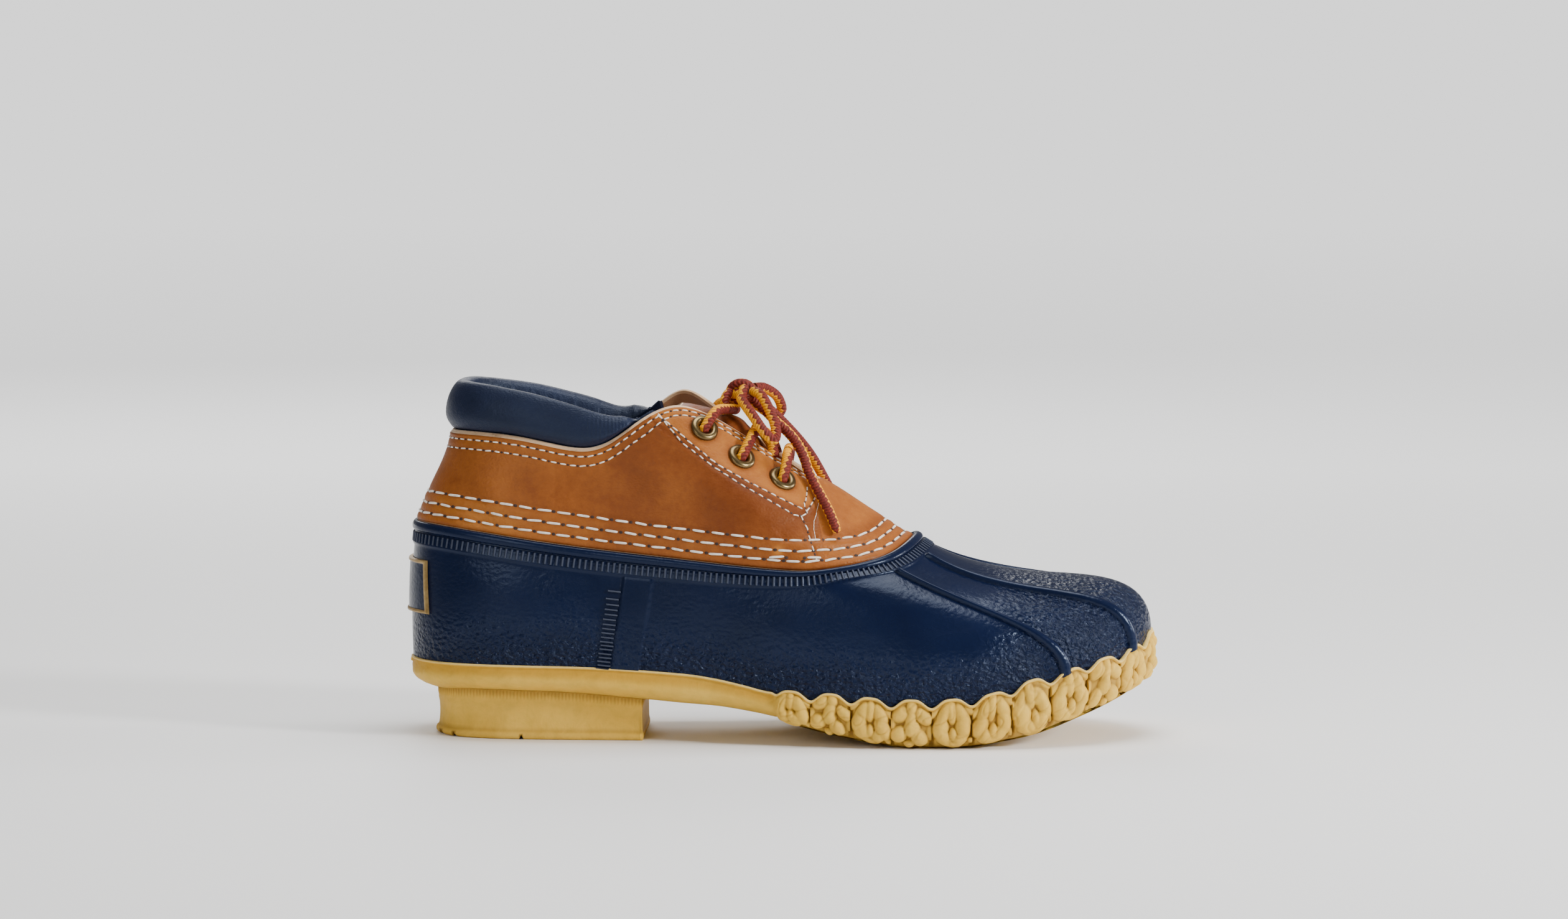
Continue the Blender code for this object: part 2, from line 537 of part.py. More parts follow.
def make_rubber_shell():
    around = all_columns()
    count = len(around)
    plan = rubber_ring(around)[:, :2]
    x = plan[:, 0]
    mask = lug_mask(x)
    steps = rubber_outer_lengths()
    shares = share_at_length(wall, around, [length for length, _ in steps], from_top=True)
    ridge_height = np.zeros(count)
    for row in RIDGE_ROWS:
        ridge_height[np.isclose(around, KNOTS[row])] = RIDGE_PROUD

    floor = height_along(CUP_FLOOR, x) + GAP
    step_height = height_along(BAND_TOP, x) + mask * LUG_WAVE + GAP
    seat = inset_outline(around, LIP_THICKNESS + GAP + 0 * x)
    loops = [flat(seat, floor), flat(seat, step_height)]
    loops.append(flat(plan, step_height + GAP))
    band_foot = shares[:, -1]
    for part in (0.20, 0.48, 0.76):
        loops.append(offset(wall, around, band_foot * part, ridge_height * min(1, 6 * (1 - part))))
    for n in range(len(steps) - 1, -1, -1):
        proud = np.full(count, steps[n][1])
        loops.append(offset(wall, around, shares[:, n], proud))
    behind = LEATHER_WALL + DOUBLE_GAP
    rise = share_at_length(leather, around, [FLANGE_HEIGHT / 2, FLANGE_HEIGHT], from_top=False)
    below = -GAP * 1e-3 / np.linalg.norm(leather(around, np.full(count, 1e-3)) - rim(around), axis=1)
    loops.append(offset(leather, around, below, np.zeros(count)))
    loops.append(offset(leather, around, below, np.full(count, -behind)))
    loops += [offset(leather, around, rise[:, n], np.full(count, -behind)) for n in (0, 1)]
    loops += [offset(leather, around, rise[:, n], np.full(count, -behind - FLANGE_WALL)) for n in (1, 0)]
    loops.append(offset(leather, around, below, np.full(count, -behind - FLANGE_WALL)))
    for part in (0.66, 0.26):
        loops.append(offset(wall, around, band_foot * part, np.full(count, -RUBBER_WALL)))
    inside = inset_outline(around, LIP_THICKNESS + GAP + RUBBER_WALL + 0 * x)
    loops.append(flat(inside, floor + RUBBER_FLOOR))
    return build_mesh("rubber_shell", np.concatenate(loops), loops_to_faces(loops, closed=False),
                      (0.016, 0.028, 0.085), 0.35)


def make_leather_upper():
    around = all_columns()
    count = len(around)
    drop = leather_drop(around)
    loops = []
    inside = share_at_length(leather, around, [FLANGE_HEIGHT / 2, FLANGE_HEIGHT], from_top=False)
    for v in (0.0, 0.17, 0.34, 0.52, 0.70, 0.87, 1.0):
        loops.append(offset(leather, around, np.full(count, v), -drop))
    for v in (1.0, 0.80, 0.58):
        loops.append(offset(leather, around, np.full(count, v), np.full(count, -LEATHER_WALL)))
    for v in (inside[:, 1], inside[:, 0], np.zeros(count)):
        loops.append(offset(leather, around, v, np.full(count, -LEATHER_WALL)))
    obj = build_mesh("leather_upper", np.concatenate(loops), loops_to_faces(loops, closed=True),
                     (0.52, 0.20, 0.06), 0.5)
    holes = obj.modifiers.new("Eyelet holes", "BOOLEAN")
    holes.operation = "DIFFERENCE"
    holes.object = make_eyelet_holes()
    return obj


def eyelet_seats():
    """Each eyelet's place and outward way on the leather."""
    seats = []
    for low, high in ((KNOTS[4], KNOTS[STEP_ROW]), (KNOTS[ROWS - STEP_ROW], KNOTS[ROWS - 4])):
        places, shares = np.meshgrid(np.linspace(low, high, 160), np.linspace(0.5, 1.0, 120), indexing="ij")
        grid = leather(places, shares)
        for along, up in EYELETS:
            target = np.array([(along - 0.5) * LENGTH, up * ANKLE_HEIGHT])
            miss = np.linalg.norm(grid[..., [0, 2]] - target, axis=-1)
            i = np.unravel_index(np.argmin(miss), miss.shape)
            here = np.array([places[i]]), np.array([shares[i]])
            seat = leather(*here)[0]
            way = unit(offset(leather, *here, np.array([1.0]))[0] - seat)
            seats.append((Vector(seat), Vector(way)))
    return seats


def make_eyelet_holes():
    work = bmesh.new()
    radius = EYELET_HOLE / 2 + EYELET_WALL + GAP
    for seat, way in eyelet_seats():
        turn = way.to_track_quat("Z", "Y").to_matrix().to_4x4()
        turn.translation = seat
        bmesh.ops.create_cone(work, cap_ends=True, segments=12, radius1=radius, radius2=radius,
                              depth=4 * LEATHER_WALL, matrix=turn)
    mesh = bpy.data.meshes.new("eyelet_holes")
    work.to_mesh(mesh)
    work.free()
    cutter = bpy.data.objects.new("eyelet_holes", mesh)
    cutter.hide_render = True
    cutter.display_type = "WIRE"
    CUTTERS.objects.link(cutter)
    return cutter


def make_eyelets():
    """Turned rings: a barrel through the leather and a rolled flange over it."""
    hole, wide = EYELET_HOLE / 2, EYELET_DIAMETER / 2
    barrel = hole + EYELET_WALL
    profile = (
        (wide, GAP), (barrel, GAP), (barrel, -LEATHER_WALL), (hole, -LEATHER_WALL),
        (hole, GAP + EYELET_FLANGE), (wide - EYELET_FLANGE / 2, GAP + EYELET_FLANGE),
    )
    for n, (seat, way) in enumerate(eyelet_seats()):
        side, number = ("outer", n + 1) if n < len(EYELETS) else ("inner", n + 1 - len(EYELETS))
        name = f"eyelet_{side}_{number}"
        mesh = bpy.data.meshes.new(name)
        edges = [(i, (i + 1) % len(profile)) for i in range(len(profile))]
        mesh.from_pydata([(radius, 0, height) for radius, height in profile], edges, [])
        obj = bpy.data.objects.new(name, mesh)
        PARTS.objects.link(obj)
        turned = obj.modifiers.new("Turned", "SCREW")
        turned.steps = 10
        turned.render_steps = 10
        turned.use_merge_vertices = True
        turned.merge_threshold = 1e-5
        turned.use_smooth_shade = True
        obj.rotation_mode = "QUATERNION"
        obj.rotation_quaternion = way.to_track_quat("Z", "Y")
        obj.location = seat
        paint(obj, (0.20, 0.16, 0.08), 0.35, 1.0)


def make_collar():
    """The padded cuff: its hem goes down behind the leather, its roll stands over the leather's edge."""
    ends = (KNOTS[4] + 0.55 * (KNOTS[5] - KNOTS[4]), KNOTS[ROWS - 4] - 0.55 * (KNOTS[ROWS - 4] - KNOTS[ROWS - 5]))
    columns = all_columns()
    outer = [place for place in columns if place < ends[0]]
    inner = [place - 1 for place in columns if place > ends[1]]
    around = np.array([ends[1] - 1] + inner + outer + [ends[0]])
    around = np.mod(around, 1.0)
    row = leather_ring(around)
    top = row[:, :3]
    height, inset, pad = row[:, 7:8], row[:, 8:9], row[:, 9:10]
    way = np.concatenate([outward(leather_ring, around, 0), np.zeros((len(around), 1))], axis=1)
    up = np.array([[0, 0, 1.0]])
    hem = share_at_length(leather, around, [COLLAR_HEM], from_top=True)[:, 0]
    behind = np.full(len(around), -LEATHER_WALL - DOUBLE_GAP)
    roll = way * COLLAR_ROLL * np.minimum(1, height / COLLAR_HEM)
    lines = [
        offset(leather, around, hem, behind),
        offset(leather, around, np.ones(len(around)), behind),
        top + up * (DOUBLE_GAP + 0.02 * height) - way * LEATHER_WALL * 0.4,
        top + up * 0.28 * height + roll,
        top + up * 0.62 * height + 0.6 * roll,
        top + up * 0.90 * height - way * 0.35 * inset,
        top + up * 1.00 * height - way * inset,
        top + up * 0.90 * height - way * (inset + 0.5 * pad),
        top + up * 0.55 * height - way * (LEATHER_WALL + 0.92 * pad),
        top + up * 0.10 * height - way * (LEATHER_WALL + 0.95 * pad),
        top - up * 0.22 * height - way * (LEATHER_WALL + 0.60 * pad),
        offset(leather, around, hem, behind - COLLAR_HEM_WALL),
    ]
    size, count = len(lines), len(around)
    points = np.stack(lines, axis=1).reshape(-1, 3)
    faces = []
    for n in range(count - 1):
        faces += ring_faces(n * size, (n + 1) * size, size)
    faces += [tuple(range(size)), tuple(range((count - 1) * size, count * size))]
    return build_mesh("collar", points, faces, (0.020, 0.030, 0.072), 0.45)


def make_tongue():
    """A sheet from under the vamp to its free top, bent over the instep."""
    across = np.linspace(-1, 1, 11)
    toe = KNOTS[TOE_ROW]
    reach = (KNOTS[TOE_ROW + 1] - toe) * 1.15
    under = -(LEATHER_WALL + GAP)
    rows = [offset(leather, toe + across * reach, np.full(11, v), np.full(11, under)) for v in (0.42, 0.72, 0.93)]
    for x, z, half, droop, setback in TONGUE_SECTIONS:
        bend = np.abs(across) ** 2.2
        rows.append(np.stack([(x - 0.5 - setback * bend) * LENGTH, half * across * BALL_WIDTH,
                              (z - droop * bend) * ANKLE_HEIGHT], axis=-1))
    points = np.concatenate(rows)
    faces = []
    for n in range(len(rows) - 1):
        for i in range(10):
            first = n * 11 + i
            faces.append((first, first + 1, first + 12, first + 11))
    obj = build_mesh("tongue", points, faces, (0.55, 0.24, 0.08), 0.6)
    shell = obj.modifiers.new("Thickness", "SOLIDIFY")
    shell.thickness = TONGUE_WALL
    shell.offset = 1.0 if obj.data.polygons[0].normal.z < 0 else -1.0
    return obj


def make_insole():
    around = all_columns()
    x = rubber_ring(around)[:, 0]
    edge = inset_outline(around, LIP_THICKNESS + RUBBER_WALL + INSOLE_CLEARANCE + 0 * x)
    floor = height_along(CUP_FLOOR, x) + RUBBER_FLOOR + DOUBLE_GAP
    loops = [flat(edge, floor), flat(edge, floor + INSOLE_THICKNESS)]
    return build_mesh("insole", np.concatenate(loops), loops_to_faces(loops, closed=False),
                      (0.30, 0.24, 0.16), 0.8)


def make_heel_label():
    """A plate bent round the back of the heel, with a raised frame."""
    half = LABEL_WIDTH / 2 / PERIMETER
    frame = LABEL_FRAME / PERIMETER
    sloped = 1.4
    across = np.concatenate([[-half, -half + frame, -half + sloped * frame], np.linspace(-0.75, 0.75, 7) * half,
                             [half - sloped * frame, half - frame, half]])
    edges = (0.0, LABEL_FRAME, sloped * LABEL_FRAME)
    down = [LABEL_TOP + edge for edge in edges] + [LABEL_TOP + LABEL_HEIGHT - edge for edge in edges[::-1]]
    lengths_down = share_at_length(wall, np.mod(across, 1.0), down, from_top=True)
    wide, high = len(across), lengths_down.shape[1]
    front, back = [], []
    for j in range(high):
        on_frame = np.zeros(wide, bool)
        on_frame[[0, 1, -2, -1]] = True
        raised = on_frame | (j in (0, 1, high - 2, high - 1))
        height = np.where(raised, LABEL_THICKNESS, 0.5 * LABEL_THICKNESS) + DOUBLE_GAP
        front.append(offset(wall, np.mod(across, 1.0), lengths_down[:, j], height))
        back.append(offset(wall, np.mod(across, 1.0), lengths_down[:, j], np.full(wide, DOUBLE_GAP)))
    points = np.concatenate(front + back)
    behind = wide * high
    faces = []
    for j in range(high - 1):
        for i in range(wide - 1):
            a = j * wide + i
            faces.append((a, a + 1, a + wide + 1, a + wide))
            faces.append((behind + a, behind + a + wide, behind + a + wide + 1, behind + a + 1))
    border = [i for i in range(wide)] + [j * wide + wide - 1 for j in range(1, high)]
    border += [(high - 1) * wide + i for i in range(wide - 2, -1, -1)] + [j * wide for j in range(high - 2, 0, -1)]
    for a, b in zip(border, border[1:] + border[:1]):
        faces.append((a, b, behind + b, behind + a))
    return build_mesh("heel_label", points, faces, (0.35, 0.22, 0.05), 0.4)


def smooth_route(route, spacing):
    """Points read from a smooth curve through a hand-chosen route."""
    route = [Vector(point) for point in route]
    route = [2 * route[0] - route[1]] + route + [2 * route[-1] - route[-2]]
    points = []
    for a, b, c, d in zip(route, route[1:], route[2:], route[3:]):
        steps = max(1, round((c - b).length / spacing))
        for i in range(steps):
            t = i / steps
            points.append(0.5 * (2 * b + (c - a) * t + (2 * a - 5 * b + 4 * c - d) * t**2
                                 + (3 * b - a - 3 * c + d) * t**3))
    return points + [route[-2]]


def make_lace(name, route):
    curve = bpy.data.curves.new(name, "CURVE")
    curve.dimensions = "3D"
    curve.bevel_depth = LACE_DIAMETER / 2
    curve.bevel_resolution = 2
    curve.use_fill_caps = True
    spline = curve.splines.new("POLY")
    points = smooth_route(route, 2.0 * LACE_DIAMETER)
    spline.points.add(len(points) - 1)
    for target, point in zip(spline.points, points):
        target.co = (*point, 1)
    obj = bpy.data.objects.new(name, curve)
    PARTS.objects.link(obj)
    paint(obj, (0.75, 0.30, 0.03), 0.7)
    return obj


def as_mesh(obj):
    """A curve's solid as a mesh with its caps welded, in the curve's place."""
    graph = bpy.context.evaluated_depsgraph_get()
    mesh = bpy.data.meshes.new_from_object(obj.evaluated_get(graph))
    work = bmesh.new()
    work.from_mesh(mesh)
    bmesh.ops.remove_doubles(work, verts=work.verts, dist=1e-6)
    bmesh.ops.recalc_face_normals(work, faces=work.faces)
    work.to_mesh(mesh)
    work.free()
    name = obj.name
    solid = bpy.data.objects.new(name + "_solid", mesh)
    solid.matrix_world = obj.matrix_world
    PARTS.objects.link(solid)
    bpy.data.objects.remove(obj)
    solid.name = name
    return solid


def crossing_under(route):
    """The same route from the other side, lower in the middle, where it passes partly under the first."""
    wide = max(abs(point[1]) for point in route)
    return tuple((x, -y, z - 0.35 * LACE_DIAMETER * (1 - abs(y) / wide)) for x, y, z in route)


def make_laces():
    make_lace("lace_toe_bar", TOE_BAR)
    make_lace("lace_top_bar", TOP_BAR)
    cross = as_mesh(make_lace("lace_cross", CROSS_BAR))
    other = as_mesh(make_lace("lace_cross_other", crossing_under(CROSS_BAR)))
    joined = cross.modifiers.new("Crossing", "BOOLEAN")
    joined.operation = "UNION"
    joined.object = other
    other.hide_render = True
    other.display_type = "WIRE"
    PARTS.objects.unlink(other)
    CUTTERS.objects.link(other)
    for name, route in (("lace_loop_outer", OUTER_LOOP), ("lace_loop_inner", INNER_LOOP),
                        ("lace_end_outer", OUTER_END), ("lace_end_inner", INNER_END)):
        make_lace(name, route)
    mesh = bpy.data.meshes.new("lace_knot")
    work = bmesh.new()
    bmesh.ops.create_uvsphere(work, u_segments=12, v_segments=8, radius=0.5)
    work.to_mesh(mesh)
    work.free()
    knot = bpy.data.objects.new("lace_knot", mesh)
    knot.scale = (KNOT_LENGTH * 0.72, KNOT_LENGTH, KNOT_LENGTH * 0.72)
    knot.location = KNOT_CENTRE
    PARTS.objects.link(knot)
    paint(knot, (0.75, 0.30, 0.03), 0.7)


def clear_scene():
    for obj in list(bpy.data.objects):
        bpy.data.objects.remove(obj)


def new_collection(name):
    collection = bpy.data.collections.new(name)
    bpy.context.scene.collection.children.link(collection)
    return collection


clear_scene()
PARTS = new_collection("duck_boot")
CUTTERS = new_collection("cutters")

make_outsole()
make_heel()
make_rubber_shell()
make_leather_upper()
make_eyelets()
make_collar()
make_tongue()
make_insole()
make_heel_label()
make_laces()
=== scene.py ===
import math

import bmesh
import bpy
import numpy as np
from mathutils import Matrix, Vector


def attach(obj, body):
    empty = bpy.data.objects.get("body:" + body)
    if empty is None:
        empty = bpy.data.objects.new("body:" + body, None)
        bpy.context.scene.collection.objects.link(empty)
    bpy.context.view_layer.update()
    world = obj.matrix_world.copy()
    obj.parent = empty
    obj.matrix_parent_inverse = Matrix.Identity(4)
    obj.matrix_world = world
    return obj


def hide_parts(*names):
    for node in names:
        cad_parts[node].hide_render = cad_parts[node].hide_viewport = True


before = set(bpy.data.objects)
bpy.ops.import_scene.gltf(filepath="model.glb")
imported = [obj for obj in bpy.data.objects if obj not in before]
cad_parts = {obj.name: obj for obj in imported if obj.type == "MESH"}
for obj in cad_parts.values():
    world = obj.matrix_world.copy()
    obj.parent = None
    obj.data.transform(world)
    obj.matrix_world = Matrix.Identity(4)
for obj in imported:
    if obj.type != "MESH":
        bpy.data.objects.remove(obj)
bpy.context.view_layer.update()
print("frame loaded")

# The last, in metres: the sizes and tables of the part's source. Only the inner quarter's corner, the
# collar's ends and the tongue's tip lie a few millimetres elsewhere, as they show from the side.
last = {
    "length": 0.300, "ballWidth": 0.100, "ankleHeight": 0.140, "heelHeight": 0.031,
    "leatherWall": 0.0022, "vampDrop": 0.0008, "rubberWall": 0.0024, "gap": 0.0003,
}

# base x, base y, rim x, rim y, rim z, rise, swell, fore, out, drop
rubberSections = (
    (0.002, 0.000, 0.007, 0.000, 0.614, 0.129, 0.010, 0.00, 0.020, 0.129),
    (0.037, -0.240, 0.033, -0.200, 0.614, 0.129, 0.010, 0.00, 0.025, 0.129),
    (0.133, -0.350, 0.127, -0.315, 0.589, 0.129, 0.010, 0.10, 0.025, 0.129),
    (0.267, -0.370, 0.240, -0.340, 0.556, 0.121, 0.010, 0.20, 0.020, 0.121),
    (0.400, -0.395, 0.343, -0.370, 0.533, 0.114, 0.010, 0.25, 0.020, 0.114),
    (0.533, -0.450, 0.433, -0.395, 0.513, 0.121, 0.010, 0.30, 0.025, 0.114),
    (0.660, -0.490, 0.510, -0.405, 0.499, 0.129, 0.010, 0.35, 0.030, 0.100),
    (0.773, -0.475, 0.560, -0.390, 0.502, 0.157, 0.005, 0.40, 0.040, 0.086),
    (0.877, -0.380, 0.627, -0.295, 0.527, 0.143, 0.000, 0.35, 0.080, 0.141),
    (0.965, -0.180, 0.665, -0.120, 0.563, 0.243, 0.000, 0.30, 0.140, 0.220),
    (0.992, 0.050, 0.675, 0.020, 0.577, 0.271, 0.000, 0.28, 0.120, 0.212),
    (0.962, 0.270, 0.665, 0.150, 0.563, 0.260, 0.000, 0.30, 0.140, 0.205),
    (0.880, 0.450, 0.627, 0.310, 0.529, 0.165, 0.000, 0.35, 0.100, 0.135),
    (0.773, 0.505, 0.560, 0.385, 0.507, 0.171, 0.005, 0.40, 0.050, 0.080),
    (0.650, 0.460, 0.510, 0.390, 0.506, 0.136, 0.010, 0.35, 0.030, 0.100),
    (0.533, 0.375, 0.433, 0.360, 0.518, 0.129, 0.010, 0.30, 0.020, 0.114),
    (0.400, 0.325, 0.343, 0.335, 0.536, 0.121, 0.010, 0.25, 0.010, 0.114),
    (0.267, 0.325, 0.240, 0.320, 0.557, 0.121, 0.010, 0.20, 0.010, 0.121),
    (0.133, 0.330, 0.127, 0.300, 0.589, 0.129, 0.010, 0.10, 0.020, 0.129),
    (0.037, 0.235, 0.033, 0.190, 0.614, 0.129, 0.010, 0.00, 0.025, 0.129),
)

# top x, top y, top z, lift, swell, brow, dip, then the collar's crest, inset and pad
leatherSections = (
    (0.053, 0.000, 0.875, 0.086, -0.035, 0.008, 0.086, 0.142, 0.050, 0.090),
    (0.073, -0.160, 0.877, 0.086, -0.025, 0.010, 0.086, 0.140, 0.050, 0.090),
    (0.150, -0.260, 0.866, 0.093, 0.000, 0.005, 0.093, 0.130, 0.040, 0.085),
    (0.240, -0.285, 0.836, 0.093, 0.005, 0.010, 0.093, 0.112, 0.030, 0.075),
    (0.297, -0.270, 0.893, 0.121, 0.010, 0.030, 0.114, 0.036, 0.020, 0.050),
    (0.353, -0.220, 0.957, 0.143, 0.015, 0.080, 0.100, 0.014, 0.010, 0.030),
    (0.427, -0.148, 0.902, 0.129, 0.010, 0.140, 0.100, 0.014, 0.010, 0.030),
    (0.530, -0.085, 0.757, 0.086, -0.020, 0.120, 0.043, 0.014, 0.010, 0.030),
    (0.542, -0.045, 0.746, 0.043, -0.040, 0.100, 0.032, 0.014, 0.010, 0.030),
    (0.547, -0.020, 0.743, 0.018, -0.070, 0.110, 0.025, 0.014, 0.010, 0.030),
    (0.548, 0.000, 0.743, 0.014, -0.075, 0.110, 0.029, 0.014, 0.010, 0.030),
    (0.547, 0.020, 0.743, 0.018, -0.070, 0.110, 0.025, 0.014, 0.010, 0.030),
    (0.542, 0.045, 0.746, 0.043, -0.040, 0.100, 0.032, 0.014, 0.010, 0.030),
    (0.530, 0.085, 0.757, 0.086, -0.020, 0.120, 0.043, 0.014, 0.010, 0.030),
    (0.427, 0.148, 0.906, 0.129, 0.010, 0.140, 0.100, 0.014, 0.010, 0.030),
    (0.360, 0.215, 0.979, 0.143, 0.015, 0.080, 0.100, 0.014, 0.010, 0.030),
    (0.297, 0.265, 0.874, 0.121, 0.010, 0.030, 0.114, 0.057, 0.020, 0.050),
    (0.240, 0.275, 0.836, 0.093, 0.005, 0.010, 0.093, 0.112, 0.030, 0.075),
    (0.150, 0.250, 0.866, 0.093, 0.000, 0.005, 0.093, 0.130, 0.040, 0.085),
    (0.073, 0.155, 0.877, 0.086, -0.025, 0.010, 0.086, 0.140, 0.050, 0.090),
)

# shares of the length and of the heel's height
bandTop = (
    (0.002, 1.00), (0.20, 0.99), (0.37, 0.91), (0.41, 0.86), (0.45, 0.78), (0.487, 0.70), (0.54, 0.67),
    (0.59, 0.645), (0.643, 0.60), (0.70, 0.595), (0.75, 0.626), (0.777, 0.67), (0.803, 0.75),
    (0.837, 0.85), (0.873, 0.92), (0.897, 1.00), (0.933, 1.08), (0.957, 1.14), (0.980, 1.24), (0.995, 1.33),
)
soleBottom = (
    (0.002, 0.61), (0.08, 0.65), (0.20, 0.632), (0.303, 0.558), (0.367, 0.503), (0.41, 0.474),
    (0.45, 0.42), (0.487, 0.352), (0.537, 0.22), (0.587, 0.116), (0.637, 0.035), (0.667, 0.0),
    (0.730, 0.0), (0.757, 0.02), (0.790, 0.071), (0.833, 0.148), (0.897, 0.355), (0.953, 0.571),
    (0.987, 0.729), (1.005, 0.84),
)
cupFloor = (
    (0.002, 0.87), (0.20, 0.86), (0.367, 0.774), (0.45, 0.645), (0.487, 0.574), (0.54, 0.516),
    (0.59, 0.484), (0.643, 0.45), (0.70, 0.445), (0.75, 0.475), (0.803, 0.58), (0.85, 0.69),
    (0.90, 0.82), (0.95, 0.97), (0.993, 1.10),
)


def unit(v):
    return v / np.maximum(np.linalg.norm(v, axis=-1, keepdims=True), 1e-12)


class RingCurve:
    # a smooth closed curve through the rows of a table
    def __init__(self, knots, values):
        self.knots, self.values = np.asarray(knots), np.asarray(values, float)
        n = len(self.knots)
        self.gaps = np.diff(np.append(self.knots, self.knots[0] + 1.0))
        matrix, right = np.zeros((n, n)), np.zeros_like(self.values)
        for i in range(n):
            g, h, j = self.gaps[i - 1], self.gaps[i], (i + 1) % n
            matrix[i, i - 1] += 1 / g
            matrix[i, i] += 2 / g + 2 / h
            matrix[i, j] += 1 / h
            right[i] = 3 * (self.values[i] - self.values[i - 1]) / g**2
            right[i] += 3 * (self.values[j] - self.values[i]) / h**2
        self.slopes = np.linalg.solve(matrix, right)

    def __call__(self, around):
        around = np.mod(np.asarray(around, float), 1.0)
        i = np.clip(np.searchsorted(self.knots, around, side="right") - 1, 0, len(self.knots) - 1)
        j = (i + 1) % len(self.knots)
        gap = self.gaps[i]
        t = ((around - self.knots[i]) / gap)[..., None]
        gap = gap[..., None]
        start = (1 + 2 * t) * (1 - t) ** 2 * self.values[i] + t * (1 - t) ** 2 * gap * self.slopes[i]
        return start + t**2 * (3 - 2 * t) * self.values[j] + t**2 * (t - 1) * gap * self.slopes[j]


def heightAlong(table, x):
    places = (np.array([row[0] for row in table]) - 0.5) * last["length"]
    heights = np.array([row[1] for row in table]) * last["heelHeight"]
    steps = np.diff(heights) / np.diff(places)
    slopes = np.zeros(len(places))
    same = steps[:-1] * steps[1:] > 0
    slopes[1:-1][same] = 2 * steps[:-1][same] * steps[1:][same] / (steps[:-1] + steps[1:])[same]
    x = np.clip(x, places[0], places[-1])
    i = np.clip(np.searchsorted(places, x, side="right") - 1, 0, len(places) - 2)
    gap = places[i + 1] - places[i]
    t = (x - places[i]) / gap
    start = (1 + 2 * t) * (1 - t) ** 2 * heights[i] + t * (1 - t) ** 2 * gap * slopes[i]
    return start + t**2 * (3 - 2 * t) * heights[i + 1] + t**2 * (t - 1) * gap * slopes[i + 1]


def sectionValues():
    length, wide, high = last["length"], last["ballWidth"], last["ankleHeight"]
    rubber = np.array(rubberSections) * (length, wide, length, wide, high, high, wide, 1, wide, high)
    leather = np.array(leatherSections) * (length, wide, high, high, wide, wide, high, high, wide, wide)
    for table, column in ((rubber, 0), (rubber, 2), (leather, 0)):
        table[:, column] -= length / 2
    return rubber, leather


rubberRows, leatherRows = sectionValues()
strides = np.linalg.norm(np.roll(rubberRows[:, :2], -1, axis=0) - rubberRows[:, :2], axis=1)
perimeter = float(strides.sum())
knots = np.concatenate([[0.0], np.cumsum(strides)[:-1]]) / perimeter
rubberRing, leatherRing = RingCurve(knots, rubberRows), RingCurve(knots, leatherRows)
stepPlaces = (float(knots[7]), float(knots[13]))  # where the quarters end over the vamp
toePlace = float(knots[10])


def outward(ring, around, column):
    step = 1e-4
    ahead = ring(around + step)[..., column:column + 2] - ring(around - step)[..., column:column + 2]
    return unit(np.stack([ahead[..., 1], -ahead[..., 0]], axis=-1))


def bezier(points, t):
    a, b, c, d = points
    t = np.asarray(t)[..., None]
    return (1 - t) ** 3 * a + 3 * t * (1 - t) ** 2 * b + 3 * t**2 * (1 - t) * c + t**3 * d


def flat(plan, height):
    return np.concatenate([plan, np.asarray(height)[..., None]], axis=-1)


def wall(around, t):
    # the rubber wall, t 0 at the sole's outline and 1 at the leather's edge
    row = rubberRing(around)
    base, edge = row[..., :2], row[..., 2:4]
    footWay = outward(rubberRing, around, 0)
    foot = heightAlong(bandTop, base[..., 0])
    a = flat(base, foot)
    b = flat(base + footWay * row[..., 6:7], foot + row[..., 5])
    c = flat(edge + (base - edge) * row[..., 7:8] + footWay * row[..., 8:9], row[..., 4] - row[..., 9])
    return bezier((a, b, c, row[..., 2:5]), t)


def leather(around, v):
    # the leather's face, v 0 at the rubber and 1 at its top edge
    row = leatherRing(around)
    foot, top = rubberRing(around)[..., 2:5], row[..., :3]
    way = outward(rubberRing, around, 2)
    b = foot + flat(way * row[..., 4:5], row[..., 3])
    c = top + flat(way * row[..., 5:6], -row[..., 6])
    return bezier((foot, b, c, top), v)


def normalOf(surface, around, v):
    step = 1e-3
    along = surface(around + step, v) - surface(around - step, v)
    up = surface(around, v + step) - surface(around, v - step)
    return unit(np.cross(along, up))


def offset(surface, around, v, distance):
    around, v = np.broadcast_arrays(np.asarray(around, float), np.asarray(v, float))
    return surface(around, v) + normalOf(surface, around, v) * np.asarray(distance)[..., None]


def lengthTables(surface, around):
    steps = np.linspace(0, 1, 65)
    lines = surface(np.repeat(around[:, None], 65, axis=1), np.repeat(steps[None], len(around), axis=0))
    runs = np.linalg.norm(np.diff(lines, axis=1), axis=2)
    return steps, np.concatenate([np.zeros((len(around), 1)), np.cumsum(runs, axis=1)], axis=1)


def shareAtLength(surface, around, lengths, fromTop=False):
    # lengths is one row for all the places, or a row for each
    around = np.atleast_1d(around)
    steps, runs = lengthTables(surface, around)
    lengths = np.broadcast_to(np.atleast_2d(lengths), (len(around), np.shape(np.atleast_2d(lengths))[1]))
    found = [np.interp(run[-1] - row if fromTop else row, run, steps) for run, row in zip(runs, lengths)]
    return np.array(found)


def insetOutline(around, distance):
    return rubberRing(around)[..., :2] - outward(rubberRing, around, 0) * np.asarray(distance)[..., None]


def smoothStep(x):
    x = np.clip(x, 0, 1)
    return x * x * (3 - 2 * x)


def bump(distance, width):
    return np.exp(-(distance / width) ** 2)


def lineDistance(points, line):
    # how far side-view points (x, z) are from a broken line
    line = np.asarray(line, float)
    best = np.full(points.shape[:-1], np.inf)
    for a, b in zip(line[:-1], line[1:]):
        d = b - a
        t = np.clip(((points - a) @ d) / max(float(d @ d), 1e-15), 0, 1)
        best = np.minimum(best, np.linalg.norm(points - a - t[..., None] * d, axis=-1))
    return best


